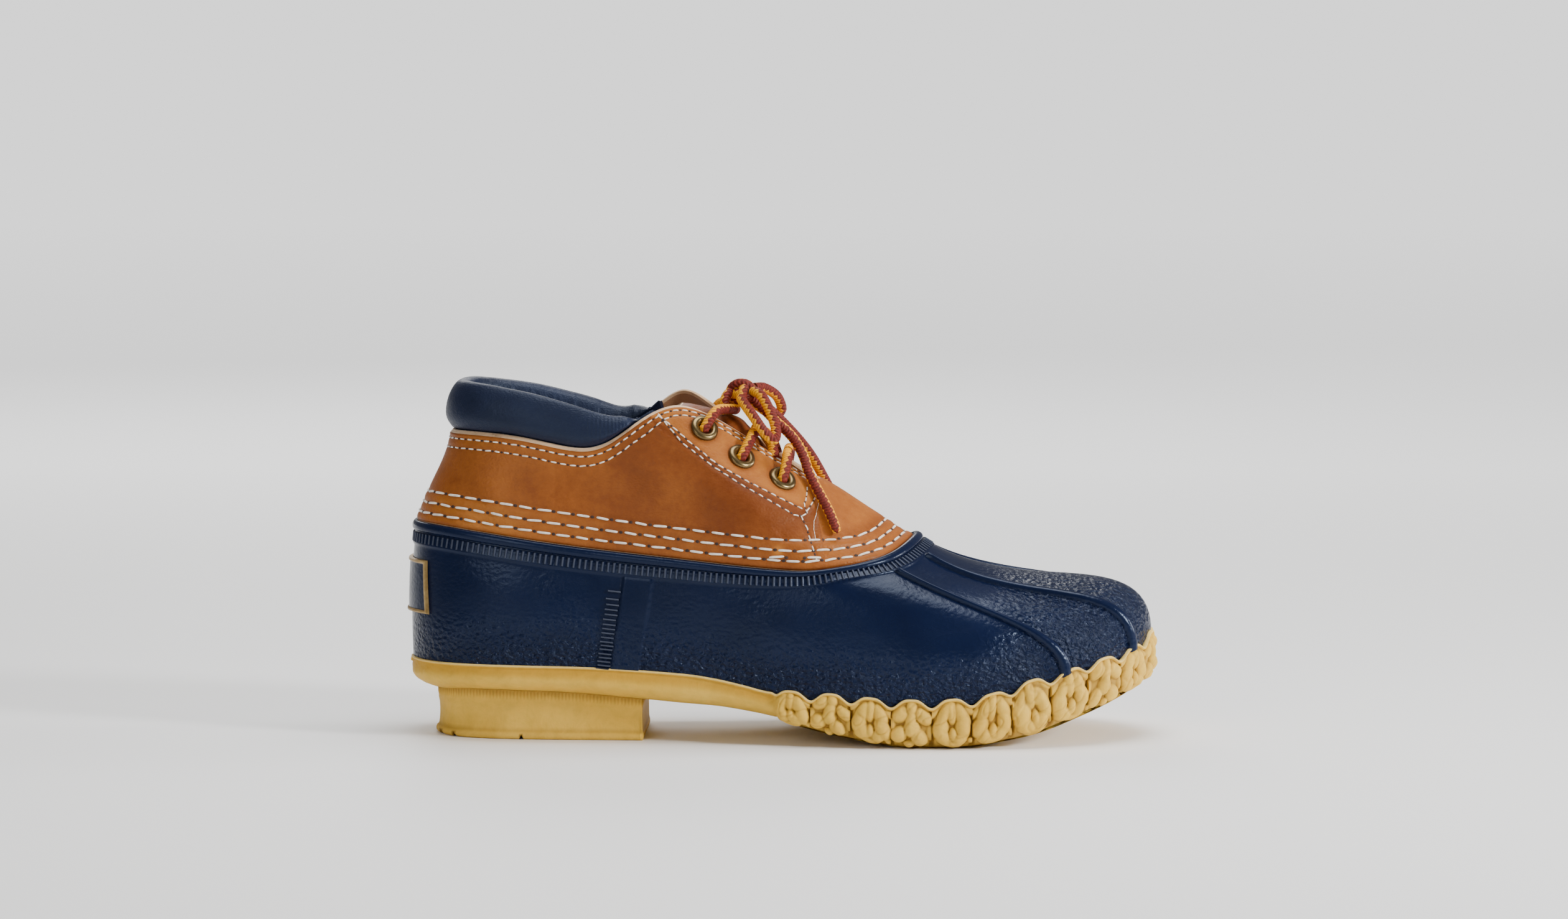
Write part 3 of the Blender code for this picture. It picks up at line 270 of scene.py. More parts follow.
def softNoise(points, size, seed):
    # a sum of a few turned waves: smooth, seeded and the same each run
    draw = np.random.default_rng(seed)
    total = np.zeros(points.shape[:-1])
    for _ in range(7):
        way = unit(draw.normal(size=3))
        total += np.sin(points @ way * (2 * math.pi / size) * draw.uniform(0.6, 1.5) + draw.uniform(0, 6.28))
    return total / 7


def splinePoint(a, b, c, d, t):
    # the smooth curve from b to c, with a before them and d after
    return 0.5 * (2 * b + (c - a) * t + (2 * a - 5 * b + 4 * c - d) * t**2 + (3 * b - a - 3 * c + d) * t**3)


def lengthsAlong(line):
    return np.concatenate([[0], np.cumsum(np.linalg.norm(np.diff(line, axis=0), axis=1))])


def nearestPlace(surface, places, shares, x, z):
    # which of these places shows nearest to x, z from the side
    grid = surface(places, shares)
    miss = (grid[..., 0] - x) ** 2 + (grid[..., 2] - z) ** 2
    return np.unravel_index(np.argmin(miss), miss.shape)


def addObject(name, data):
    made = bpy.data.objects.new(name, data)
    bpy.context.scene.collection.objects.link(made)
    return made


# Materials
def newMaterial(name):
    material = bpy.data.materials.new(name)
    material.use_nodes = True
    return material, material.node_tree, material.node_tree.nodes["Principled BSDF"]


def addNode(tree, kind, values=(), **settings):
    node = tree.nodes.new(kind)
    for key, value in settings.items():
        setattr(node, key, value)
    for key, value in dict(values).items():
        node.inputs[key].default_value = value
    return node


def coordinates(tree, scale=(1, 1, 1), turn=(0, 0, 0), output="Object"):
    place = addNode(tree, "ShaderNodeTexCoord")
    mapping = addNode(tree, "ShaderNodeMapping", {"Scale": scale, "Rotation": turn})
    tree.links.new(place.outputs[output], mapping.inputs["Vector"])
    return mapping.outputs["Vector"]


def noise(tree, vector, scale, detail=3.0, rough=0.5, distort=0.0):
    node = addNode(tree, "ShaderNodeTexNoise",
                   {"Scale": scale, "Detail": detail, "Roughness": rough, "Distortion": distort})
    tree.links.new(vector, node.inputs["Vector"])
    return node.outputs["Fac"]


def cells(tree, vector, scale, feature="SMOOTH_F1", output="Distance"):
    node = addNode(tree, "ShaderNodeTexVoronoi", {"Scale": scale}, feature=feature)
    tree.links.new(vector, node.inputs["Vector"])
    return node.outputs[output]


def ramp(tree, value, *stops):
    # stops of (place, grey or colour)
    node = addNode(tree, "ShaderNodeValToRGB")
    while len(node.color_ramp.elements) < len(stops):
        node.color_ramp.elements.new(0.5)
    for element, (place, colour) in zip(node.color_ramp.elements, stops):
        element.position = place
        element.color = (colour,) * 3 + (1,) if isinstance(colour, (int, float)) else (*colour, 1)
    tree.links.new(value, node.inputs["Fac"])
    return node.outputs["Color"]


def maths(tree, operation, first, second, third=None):
    node = addNode(tree, "ShaderNodeMath", operation=operation)
    for socket, value in zip(node.inputs, (first, second, third)):
        if value is None:
            continue
        if isinstance(value, (int, float)):
            socket.default_value = value
        else:
            tree.links.new(value, socket)
    return node.outputs["Value"]


def rise(tree, value, start, end):
    # 0 up to the start, 1 from the end on
    share = maths(tree, "MULTIPLY_ADD", value, 1 / (end - start), -start / (end - start))
    return maths(tree, "MINIMUM", maths(tree, "MAXIMUM", share, 0.0), 1.0)


def splitVector(tree, output):
    # the first two coordinates of the object's space or of its UV map
    place = addNode(tree, "ShaderNodeTexCoord")
    split = addNode(tree, "ShaderNodeSeparateXYZ")
    tree.links.new(place.outputs[output], split.inputs["Vector"])
    return split.outputs["X"], split.outputs["Y"]


def blendColours(tree, share, first, second, way="MIX"):
    node = addNode(tree, "ShaderNodeMix", data_type="RGBA", blend_type=way)
    for socket, value in ((node.inputs[0], share), (node.inputs[6], first), (node.inputs[7], second)):
        if isinstance(value, (int, float)):
            socket.default_value = value
        elif isinstance(value, tuple):
            socket.default_value = (*value, 1)
        else:
            tree.links.new(value, socket)
    return node.outputs[2]


def attribute(tree, name):
    return addNode(tree, "ShaderNodeAttribute", attribute_name=name).outputs["Fac"]


def relief(tree, shader, layers):
    # layers of (height, distance in metres, strength), the broadest first
    normal = None
    for height, distance, strength in layers:
        node = addNode(tree, "ShaderNodeBump", {"Distance": distance})
        if isinstance(strength, (int, float)):
            node.inputs["Strength"].default_value = strength
        else:
            tree.links.new(strength, node.inputs["Strength"])
        tree.links.new(height, node.inputs["Height"])
        if normal is not None:
            tree.links.new(normal, node.inputs["Normal"])
        normal = node.outputs["Normal"]
    tree.links.new(normal, shader.inputs["Normal"])


def setShader(shader, **values):
    for key, value in values.items():
        socket = shader.inputs[key.replace("_", " ")]
        socket.default_value = (*value, 1) if isinstance(value, tuple) else value


def tanLeatherMaterial():
    material, tree, shader = newMaterial("tanLeather")
    spot = coordinates(tree)
    tone = attribute(tree, "tone")
    cloud = noise(tree, spot, 38, 4, 0.6)
    fine = noise(tree, spot, 420, 4, 0.65)
    value = maths(tree, "MULTIPLY_ADD", maths(tree, "SUBTRACT", cloud, 0.5), 0.55, tone)
    value = maths(tree, "MULTIPLY_ADD", maths(tree, "SUBTRACT", fine, 0.5), 0.25, value)
    colour = ramp(tree, value, (0.0, (0.095, 0.018, 0.004)), (0.30, (0.176, 0.045, 0.0085)),
                  (0.55, (0.282, 0.085, 0.015)), (0.80, (0.405, 0.145, 0.025)), (1.0, (0.520, 0.212, 0.042)))
    specks = ramp(tree, cells(tree, spot, 900, "F1"), (0.0, 0.80), (0.22, 1.0))
    tree.links.new(blendColours(tree, 1.0, colour, specks, "MULTIPLY"), shader.inputs["Base Color"])
    rough = ramp(tree, fine, (0.25, 0.38), (0.75, 0.52))
    tree.links.new(rough, shader.inputs["Roughness"])
    setShader(shader, Specular_IOR_Level=0.22, Specular_Tint=(1.0, 0.84, 0.62))
    grain = cells(tree, coordinates(tree, (1, 1, 1.25)), 1150)
    folds = noise(tree, coordinates(tree, (1.0, 1.0, 2.6)), 260, 3, 0.55, 0.6)
    relief(tree, shader, [(folds, 0.0010, 0.16), (grain, 0.0005, 0.22), (fine, 0.0004, 0.15)])
    return material


def rawEdgeMaterial(name, pale, dark):
    # the cut edge and flesh side of the leather: pale, fibrous and dull
    material, tree, shader = newMaterial(name)
    spot = coordinates(tree)
    fibres = noise(tree, coordinates(tree, (1, 1, 3)), 900, 5, 0.7)
    blotch = noise(tree, spot, 210, 3, 0.6)
    mixed = maths(tree, "MULTIPLY_ADD", blotch, 0.6, maths(tree, "MULTIPLY", fibres, 0.5))
    palest = tuple(min(1, c * 1.15) for c in pale)
    tree.links.new(ramp(tree, mixed, (0.32, dark), (0.50, pale), (0.80, palest)), shader.inputs["Base Color"])
    setShader(shader, Roughness=0.92, Sheen_Weight=0.4, Sheen_Roughness=0.5)
    relief(tree, shader, [(fibres, 0.0006, 0.6)])
    return material


def navyRubberMaterial():
    material, tree, shader = newMaterial("navyRubber")
    spot = coordinates(tree)
    peel = attribute(tree, "peel")
    cloud = noise(tree, spot, 22, 3, 0.55)
    navy = ramp(tree, cloud, (0.3, (0.0024, 0.0050, 0.020)), (0.7, (0.0040, 0.0082, 0.031)))
    # the ribs' crests are painted paler: a painted highlight where they catch the light
    tree.links.new(blendColours(tree, attribute(tree, "wearAndHighlight"), navy, (0.046, 0.053, 0.076)),
                   shader.inputs["Base Color"])
    smears = noise(tree, coordinates(tree, (1, 1, 2)), 60, 4, 0.6, 0.8)
    tree.links.new(ramp(tree, smears, (0.3, 0.20), (0.75, 0.30)), shader.inputs["Roughness"])
    setShader(shader, Specular_IOR_Level=0.23, Specular_Tint=(0.62, 0.76, 1.0))
    pebbles = cells(tree, coordinates(tree, (1, 1, 1.35)), 520)
    crinkle = noise(tree, spot, 430, 3, 0.55, 1.4)
    skin = maths(tree, "MULTIPLY_ADD", crinkle, 0.9, pebbles)
    relief(tree, shader, [(skin, 0.0017, peel), (noise(tree, spot, 1800, 2), 0.0003, 0.10)])
    return material


def navyLeatherMaterial():
    material, tree, shader = newMaterial("navyLeather")
    spot = coordinates(tree)
    cloud = noise(tree, spot, 30, 4, 0.6)
    tree.links.new(ramp(tree, cloud, (0.3, (0.0050, 0.0078, 0.022)), (0.7, (0.0092, 0.0140, 0.038))),
                   shader.inputs["Base Color"])
    fine = noise(tree, spot, 620, 4, 0.65)
    tree.links.new(ramp(tree, fine, (0.3, 0.40), (0.75, 0.52)), shader.inputs["Roughness"])
    setShader(shader, Specular_IOR_Level=0.26, Specular_Tint=(0.70, 0.82, 1.0))
    pores = cells(tree, coordinates(tree, (1, 1, 1.4)), 1500)
    creases = noise(tree, coordinates(tree, (1.2, 1.2, 0.5)), 300, 3, 0.6, 0.7)
    relief(tree, shader, [(creases, 0.0010, 0.14), (pores, 0.0004, 0.30), (fine, 0.0003, 0.16)])
    return material


def tanRubberMaterial():
    material, tree, shader = newMaterial("tanRubber")
    spot = coordinates(tree)
    paintedShade = attribute(tree, "paintedShade")  # painted shade: 0 on the lobes, 1 down in the pits and grooves
    warm = attribute(tree, "warm")  # 1 where the band is darker and yellower, near its top
    cloud = noise(tree, spot, 45, 4, 0.6)
    base = ramp(tree, cloud, (0.25, (0.680, 0.410, 0.052)), (0.75, (0.800, 0.520, 0.088)))
    base = blendColours(tree, maths(tree, "MULTIPLY", warm, 0.75), base, (0.50, 0.245, 0.012))
    # the painted shade's dark brown
    base = blendColours(tree, maths(tree, "MULTIPLY", paintedShade, 0.85), base, (0.190, 0.080, 0.012))
    # pale: a painted highlight along the flash's top edge
    base = blendColours(tree, attribute(tree, "pale"), base, (0.90, 0.68, 0.26))
    smudges = ramp(tree, noise(tree, spot, 120, 5, 0.7, 0.5), (0.35, 0.86), (0.6, 1.0))
    tree.links.new(blendColours(tree, 1.0, base, smudges, "MULTIPLY"), shader.inputs["Base Color"])
    fine = noise(tree, spot, 700, 4, 0.6)
    tree.links.new(ramp(tree, fine, (0.3, 0.50), (0.7, 0.66)), shader.inputs["Roughness"])
    setShader(shader, Specular_IOR_Level=0.22, Specular_Tint=(1.0, 0.88, 0.62))
    setShader(shader, Subsurface_Weight=0.06, Subsurface_Scale=0.003)
    lines = noise(tree, coordinates(tree, (1, 1, 0.08)), 1100, 2, 0.5)
    relief(tree, shader, [(noise(tree, spot, 190, 4, 0.6, 0.5), 0.0012, 0.32), (lines, 0.0004, 0.22),
                          (fine, 0.0003, 0.20)])
    return material


def threadMaterial():
    material, tree, shader = newMaterial("stitchThread")
    spot = coordinates(tree)
    shade = noise(tree, spot, 500, 3, 0.6)
    tree.links.new(ramp(tree, shade, (0.3, (0.62, 0.55, 0.45)), (0.6, (0.84, 0.80, 0.72))),
                   shader.inputs["Base Color"])
    setShader(shader, Roughness=0.62, Sheen_Weight=0.25)
    relief(tree, shader, [(noise(tree, coordinates(tree, (2.2, 2.2, 2.2)), 1500, 3, 0.6), 0.0003, 0.5)])
    return material


def needleHoleMaterial():
    material, tree, shader = newMaterial("needleHole")
    shade = noise(tree, coordinates(tree), 600, 3, 0.6)
    # near black: painted shade inside the needle holes
    tree.links.new(ramp(tree, shade, (0.3, (0.012, 0.005, 0.003)), (0.7, (0.050, 0.018, 0.008))),
                   shader.inputs["Base Color"])
    setShader(shader, Roughness=0.8)
    return material


def laceMaterial():
    # u runs along the lace in turns of the braid, v once round it
    material, tree, shader = newMaterial("laceBraid")
    along, turned = splitVector(tree, "UV")
    teeth = maths(tree, "PINGPONG", along, 0.5)
    fromFace = maths(tree, "ABSOLUTE", maths(tree, "SUBTRACT", turned, 0.5), 0.0)
    edge = maths(tree, "MULTIPLY_ADD", teeth, 0.16, fromFace)
    isGold = ramp(tree, edge, (0.190, 0.0), (0.212, 1.0))
    fuzz = noise(tree, coordinates(tree), 900, 4, 0.7)
    gold = ramp(tree, fuzz, (0.3, (0.78, 0.27, 0.0)), (0.7, (1.0, 0.47, 0.0)))
    brick = ramp(tree, fuzz, (0.3, (0.085, 0.008, 0.005)), (0.7, (0.24, 0.026, 0.014)))
    plait = maths(tree, "MULTIPLY_ADD", fromFace, 2.0, along)
    strands = maths(tree, "PINGPONG", maths(tree, "MULTIPLY", plait, 2.0), 0.5)
    # painted shade down between the braid's strands
    deep = ramp(tree, strands, (0.0, 0.45), (0.30, 1.0))
    colour = blendColours(tree, isGold, brick, gold)
    tree.links.new(blendColours(tree, 0.8, colour, deep, "MULTIPLY"), shader.inputs["Base Color"])
    setShader(shader, Roughness=0.62, Specular_IOR_Level=0.22)
    relief(tree, shader, [(strands, 0.0009, 0.6), (fuzz, 0.0004, 0.45)])
    return material


def brassMaterial():
    material, tree, shader = newMaterial("antiqueBrass")
    tarnish = noise(tree, coordinates(tree), 130, 3, 0.5)
    tree.links.new(ramp(tree, tarnish, (0.3, (0.105, 0.070, 0.028)), (0.7, (0.21, 0.148, 0.064))),
                   shader.inputs["Base Color"])
    tree.links.new(ramp(tree, tarnish, (0.3, 0.34), (0.7, 0.24)), shader.inputs["Roughness"])
    setShader(shader, Metallic=0.92)
    relief(tree, shader, [(noise(tree, coordinates(tree), 900, 3), 0.0002, 0.05)])
    return material


def goldPaintMaterial():
    material, tree, shader = newMaterial("goldPaint")
    wearAndHighlight = noise(tree, coordinates(tree), 300, 4, 0.65)
    tree.links.new(ramp(tree, wearAndHighlight, (0.3, (0.26, 0.155, 0.045)), (0.7, (0.46, 0.31, 0.12))),
                   shader.inputs["Base Color"])
    setShader(shader, Roughness=0.42, Metallic=0.35)
    relief(tree, shader, [(wearAndHighlight, 0.0003, 0.25)])
    return material


def feltMaterial():
    material, tree, shader = newMaterial("insoleFelt")
    fibres = noise(tree, coordinates(tree), 800, 5, 0.7)
    tree.links.new(ramp(tree, fibres, (0.3, (0.17, 0.13, 0.085)), (0.7, (0.36, 0.29, 0.20))),
                   shader.inputs["Base Color"])
    setShader(shader, Roughness=0.9, Sheen_Weight=0.3)
    relief(tree, shader, [(fibres, 0.0006, 0.5)])
    return material


materials = {
    "tanLeather": tanLeatherMaterial(),
    "rawEdge": rawEdgeMaterial("rawEdge", (0.66, 0.43, 0.24), (0.26, 0.12, 0.05)),
    # the flesh side's brown is darkened beyond its own colour: painted shade for the inside faces
    "fleshSide": rawEdgeMaterial("fleshSide", (0.36, 0.17, 0.07), (0.17, 0.065, 0.022)),
    "navyRubber": navyRubberMaterial(),
    "navyLeather": navyLeatherMaterial(),
    "tanRubber": tanRubberMaterial(),
    "stitchThread": threadMaterial(),
    "needleHole": needleHoleMaterial(),
    "lace": laceMaterial(),
    "brass": brassMaterial(),
    "goldPaint": goldPaintMaterial(),
    "felt": feltMaterial(),
}
print("materials ready")


# Making pieces
def makePiece(name, points, faces, paints, faceMaterial=None, attributes=None, uv=None, smooth=True):
    mesh = bpy.data.meshes.new(name)
    mesh.from_pydata(np.asarray(points).reshape(-1, 3).tolist(), [], faces)
    for paint in paints:
        mesh.materials.append(materials[paint])
    if faceMaterial is not None:
        mesh.polygons.foreach_set("material_index", np.asarray(faceMaterial, np.int32))
    for key, values in (attributes or {}).items():
        layer = mesh.attributes.new(key, "FLOAT", "POINT")
        layer.data.foreach_set("value", np.asarray(values, np.float32).ravel())
    if uv is not None:
        layer = mesh.uv_layers.new(name="UVMap")
        layer.data.foreach_set("uv", np.asarray(uv, np.float32).ravel())
    mesh.validate()
    mesh.update()
    piece = addObject(name, mesh)
    if smooth:
        mesh.shade_smooth()
        mesh.set_sharp_from_angle(angle=math.radians(55))
    return piece


def gridFaces(rows, columns, start=0, closed=True, turned=False):
    i, j = np.meshgrid(np.arange(rows - 1), np.arange(columns if closed else columns - 1), indexing="ij")
    k = (j + 1) % columns
    corners = (i * columns + j, i * columns + k, (i + 1) * columns + k, (i + 1) * columns + j)
    faces = np.stack(corners, axis=-1).reshape(-1, 4) + start
    return (faces[:, ::-1] if turned else faces).tolist()


def stripCap(start, count, down=False):
    # a closed loop round the shoe, filled with strips across it
    half = count // 2
    faces = [(start, start + 1, start + count - 1), (start + half, start + half + 1, start + half - 1)]
    faces += [(start + i, start + i + 1, start + count - i - 1, start + count - i)
              for i in range(1, half - 1)]
    return [face[::-1] for face in faces] if down else faces


def dropPiece(piece):
    data = piece.data
    bpy.data.objects.remove(piece)
    if isinstance(data, bpy.types.Mesh):
        bpy.data.meshes.remove(data)


def joinPieces(name, pieces, paints):
    # the meshes of several pieces as one, each keeping its own material
    work = bmesh.new()
    for piece in pieces:
        slots = [paints.index(m.name) for m in piece.data.materials]
        before = len(work.faces)
        work.from_mesh(piece.data)
        work.faces.ensure_lookup_table()
        for face in work.faces[before:]:
            face.material_index = slots[face.material_index]
    mesh = bpy.data.meshes.new(name)
    work.to_mesh(mesh)
    work.free()
    for paint in paints:
        mesh.materials.append(materials[paint])
    for piece in pieces:
        dropPiece(piece)
    joined = addObject(name, mesh)
    mesh.shade_smooth()
    mesh.set_sharp_from_angle(angle=math.radians(50))
    return joined


def finishPiece(piece, slotName, *nodes):
    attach(piece, "root")
    if nodes:
        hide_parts(*nodes)
    return piece


# What repeats along a path: Geometry Nodes lay an item along it, turned to its outward way
def pathObject(name, points, ways, closed):
    mesh = bpy.data.meshes.new(name)
    n = len(points)
    edges = [(i, i + 1) for i in range(n - 1)] + ([(n - 1, 0)] if closed else [])
    mesh.from_pydata(np.asarray(points).tolist(), edges, [])
    layer = mesh.attributes.new("outwardWay", "FLOAT_VECTOR", "POINT")
    layer.data.foreach_set("vector", np.asarray(ways, np.float32).ravel())
    return addObject(name, mesh)


def repeatTree(name, item, paint):
    tree = bpy.data.node_groups.new(name, "GeometryNodeTree")
    tree.interface.new_socket("Path", in_out="INPUT", socket_type="NodeSocketGeometry")
    for label, value in (("Pitch", 0.004), ("Length spread", 0.1), ("Turn spread", 0.05)):
        tree.interface.new_socket(label, in_out="INPUT", socket_type="NodeSocketFloat").default_value = value
    tree.interface.new_socket("Seed", in_out="INPUT", socket_type="NodeSocketInt").default_value = 1
    tree.interface.new_socket("Geometry", in_out="OUTPUT", socket_type="NodeSocketGeometry")
    inputs, outputs = tree.nodes.new("NodeGroupInput"), tree.nodes.new("NodeGroupOutput")
    link = tree.links.new
    curve = tree.nodes.new("GeometryNodeMeshToCurve")
    even = tree.nodes.new("GeometryNodeResampleCurve")
    even.mode = "LENGTH"
    tangent = tree.nodes.new("GeometryNodeInputTangent")
    way = tree.nodes.new("GeometryNodeInputNamedAttribute")
    way.data_type = "FLOAT_VECTOR"
    way.inputs["Name"].default_value = "outwardWay"
    turn = tree.nodes.new("FunctionNodeAxesToRotation")
    turn.primary_axis, turn.secondary_axis = "Z", "X"
    lay = tree.nodes.new("GeometryNodeInstanceOnPoints")
    what = tree.nodes.new("GeometryNodeObjectInfo")
    what.inputs["Object"].default_value = item
    spread = tree.nodes.new("FunctionNodeRandomValue")
    low = tree.nodes.new("ShaderNodeMath")
    low.operation = "SUBTRACT"
    low.inputs[0].default_value = 1.0
    high = tree.nodes.new("ShaderNodeMath")
    high.operation = "ADD"
    high.inputs[0].default_value = 1.0
    size = tree.nodes.new("ShaderNodeCombineXYZ")
    size.inputs["Y"].default_value = 1.0
    size.inputs["Z"].default_value = 1.0
    twist = tree.nodes.new("FunctionNodeRandomValue")
    less = tree.nodes.new("ShaderNodeMath")
    less.operation = "MULTIPLY"
    less.inputs[1].default_value = -1.0
    spin = tree.nodes.new("ShaderNodeCombineXYZ")
    rotate = tree.nodes.new("FunctionNodeRotateRotation")
    rotate.rotation_space = "LOCAL"
    real = tree.nodes.new("GeometryNodeRealizeInstances")
    finish = tree.nodes.new("GeometryNodeSetMaterial")
    finish.inputs["Material"].default_value = materials[paint]
    link(inputs.outputs["Path"], curve.inputs["Mesh"])
    link(curve.outputs["Curve"], even.inputs["Curve"])
    link(inputs.outputs["Pitch"], even.inputs["Length"])
    link(way.outputs["Attribute"], turn.inputs["Primary Axis"])
    link(tangent.outputs["Tangent"], turn.inputs["Secondary Axis"])
    link(even.outputs["Curve"], lay.inputs["Points"])
    link(what.outputs["Geometry"], lay.inputs["Instance"])
    link(inputs.outputs["Length spread"], low.inputs[1])
    link(inputs.outputs["Length spread"], high.inputs[1])
    link(low.outputs[0], spread.inputs[2])
    link(high.outputs[0], spread.inputs[3])
    link(inputs.outputs["Seed"], spread.inputs["Seed"])
    link(spread.outputs[1], size.inputs["X"])
    link(inputs.outputs["Turn spread"], less.inputs[0])
    link(less.outputs[0], twist.inputs[2])
    link(inputs.outputs["Turn spread"], twist.inputs[3])
    link(inputs.outputs["Seed"], twist.inputs["Seed"])
    link(twist.outputs[1], spin.inputs["Z"])
    link(turn.outputs["Rotation"], rotate.inputs["Rotation"])
    link(spin.outputs["Vector"], rotate.inputs["Rotate By"])
    link(rotate.outputs["Rotation"], lay.inputs["Rotation"])
    link(size.outputs["Vector"], lay.inputs["Scale"])
    link(lay.outputs["Instances"], real.inputs["Geometry"])
    link(real.outputs["Geometry"], finish.inputs["Geometry"])
    link(finish.outputs["Geometry"], outputs.inputs["Geometry"])
    return tree


def repeatAlong(name, path, item, paint, pitch, lengthSpread=0.0, turnSpread=0.0, seed=1):
    # lays the item along the path object, and leaves a plain mesh
    tree = repeatTree(name + "Nodes", item, paint)
    nodes = path.modifiers.new("Repeat", "NODES")
    nodes.node_group = tree
    names = {s.name: s.identifier for s in tree.interface.items_tree if s.in_out == "INPUT"}
    for label, value in (("Pitch", pitch), ("Length spread", lengthSpread), ("Turn spread", turnSpread),
                         ("Seed", seed)):
        nodes[names[label]] = value
    graph = bpy.context.evaluated_depsgraph_get()
    mesh = bpy.data.meshes.new_from_object(path.evaluated_get(graph), depsgraph=graph)
    path.modifiers.remove(nodes)
    mesh.materials.clear()
    mesh.materials.append(materials[paint])
    piece = addObject(name, mesh)
    mesh.shade_smooth()
    dropPiece(path)
    return piece


def cutPath(points, ways, start, end):
    # the path without this much of its length at each end
    run = lengthsAlong(points)
    places = np.linspace(start, run[-1] - end, max(8, len(points)))
    points = np.stack([np.interp(places, run, points[:, k]) for k in range(3)], axis=1)
    return points, unit(np.stack([np.interp(places, run, ways[:, k]) for k in range(3)], axis=1))


# The camera and the light
view = {"target": (0.0, 0.0, 0.1102), "distance": 2.50, "azimuth": 2.0, "elevation": 5.5, "lens": 143.0}


def makeCamera():
    data = bpy.data.cameras.new("camera")
    data.lens, data.sensor_width = view["lens"], 36.0
    data.clip_start, data.clip_end = 0.1, 90.0
    camera = addObject("camera", data)
    a, e = math.radians(view["azimuth"]), math.radians(view["elevation"])
    back = Vector((math.sin(a) * math.cos(e), -math.cos(a) * math.cos(e), math.sin(e)))
    camera.location = Vector(view["target"]) + back * view["distance"]
    camera.rotation_euler = (-back).to_track_quat("-Z", "Y").to_euler()
    bpy.context.scene.camera = camera


# place, size, watts, colour
lights = {
    "overhead": ((0.10, 0.05, 1.25), 0.9, 16.0, (1.0, 0.99, 0.97)),
    "toeSide": ((1.32, -0.62, 0.66), 0.28, 26.0, (1.0, 1.0, 1.0)),
    "toeFront": ((1.50, 0.30, 0.46), 0.35, 11.0, (1.0, 1.0, 1.0)),
    "front": ((-0.70, -1.5, 0.70), 0.8, 6.5, (1.0, 0.98, 0.95)),
    "behind": ((-0.3, 1.3, 0.9), 0.9, 8.0, (1.0, 1.0, 1.0)),
}


def makeLights():
    for name, (place, size, power, colour) in lights.items():
        data = bpy.data.lights.new(name, "AREA")
        data.shape, data.size, data.energy, data.color = "DISK", size, power, colour
        lamp = addObject(name, data)
        lamp.location = place
        lamp.rotation_euler = (Vector((0, 0, 0.06)) - Vector(place)).to_track_quat("-Z", "Y").to_euler()
    world = bpy.data.worlds.new("studio")
    bpy.context.scene.world = world
    world.use_nodes = True
    world.node_tree.nodes["Background"].inputs["Color"].default_value = (1.0, 1.0, 1.0, 1)
    world.node_tree.nodes["Background"].inputs["Strength"].default_value = 0.24


def makeFloor():
    # a pale floor to the horizon, evened out where the lamps no longer reach it behind the shoe
    mesh = bpy.data.meshes.new("floor")
    mesh.from_pydata([(-30, -20, 0), (30, -20, 0), (30, 70, 0), (-30, 70, 0)], [], [(0, 1, 2, 3)])
    floor = addObject("floor", mesh)
    material, tree, shader = newMaterial("floor")
    x, y = splitVector(tree, "Object")
    lampHigh = lights["overhead"][0][2] ** 2
    square = maths(tree, "ADD", maths(tree, "MULTIPLY", x, x), maths(tree, "MULTIPLY", y, y))
    share = maths(tree, "DIVIDE", lampHigh, maths(tree, "ADD", square, lampHigh))
    unlit = maths(tree, "SUBTRACT", 1.0, maths(tree, "MULTIPLY", share, share))
    glow = maths(tree, "MULTIPLY", unlit, rise(tree, y, 0.25, 1.0833))
    glow = maths(tree, "MULTIPLY", glow, maths(tree, "MULTIPLY_ADD", rise(tree, y, 1.0, 3.5), 0.34, 0.92))
    tree.links.new(glow, shader.inputs["Emission Strength"])
    setShader(shader, Base_Color=(0.90, 0.90, 0.90), Emission_Color=(1.0, 1.0, 1.0), Roughness=0.6)
    mesh.materials.append(material)


makeCamera()
makeLights()
makeFloor()
print("camera, lights and floor ready")


# Eyelets' places, as in the part's source
eyelet = {"hole": 0.0060, "diameter": 0.0106, "sides": 40, "places": (
    (0.397, 0.890), (0.447, 0.811), (0.501, 0.747))}


def eyeletSeats():
    seats = {}
    for side, low, high in (("outer", knots[4], knots[7]), ("inner", knots[13], knots[16])):
        places, shares = np.meshgrid(np.linspace(low, high, 160), np.linspace(0.5, 1.0, 120), indexing="ij")
        for n, (along, up) in enumerate(eyelet["places"]):
            target = (along - 0.5) * last["length"], up * last["ankleHeight"]
            i = nearestPlace(leather, places, shares, *target)
            here = np.array([places[i]]), np.array([shares[i]])
            seats[side + "_" + str(n + 1)] = (leather(*here)[0], normalOf(leather, *here)[0])
    return seats


seatPlaces = eyeletSeats()


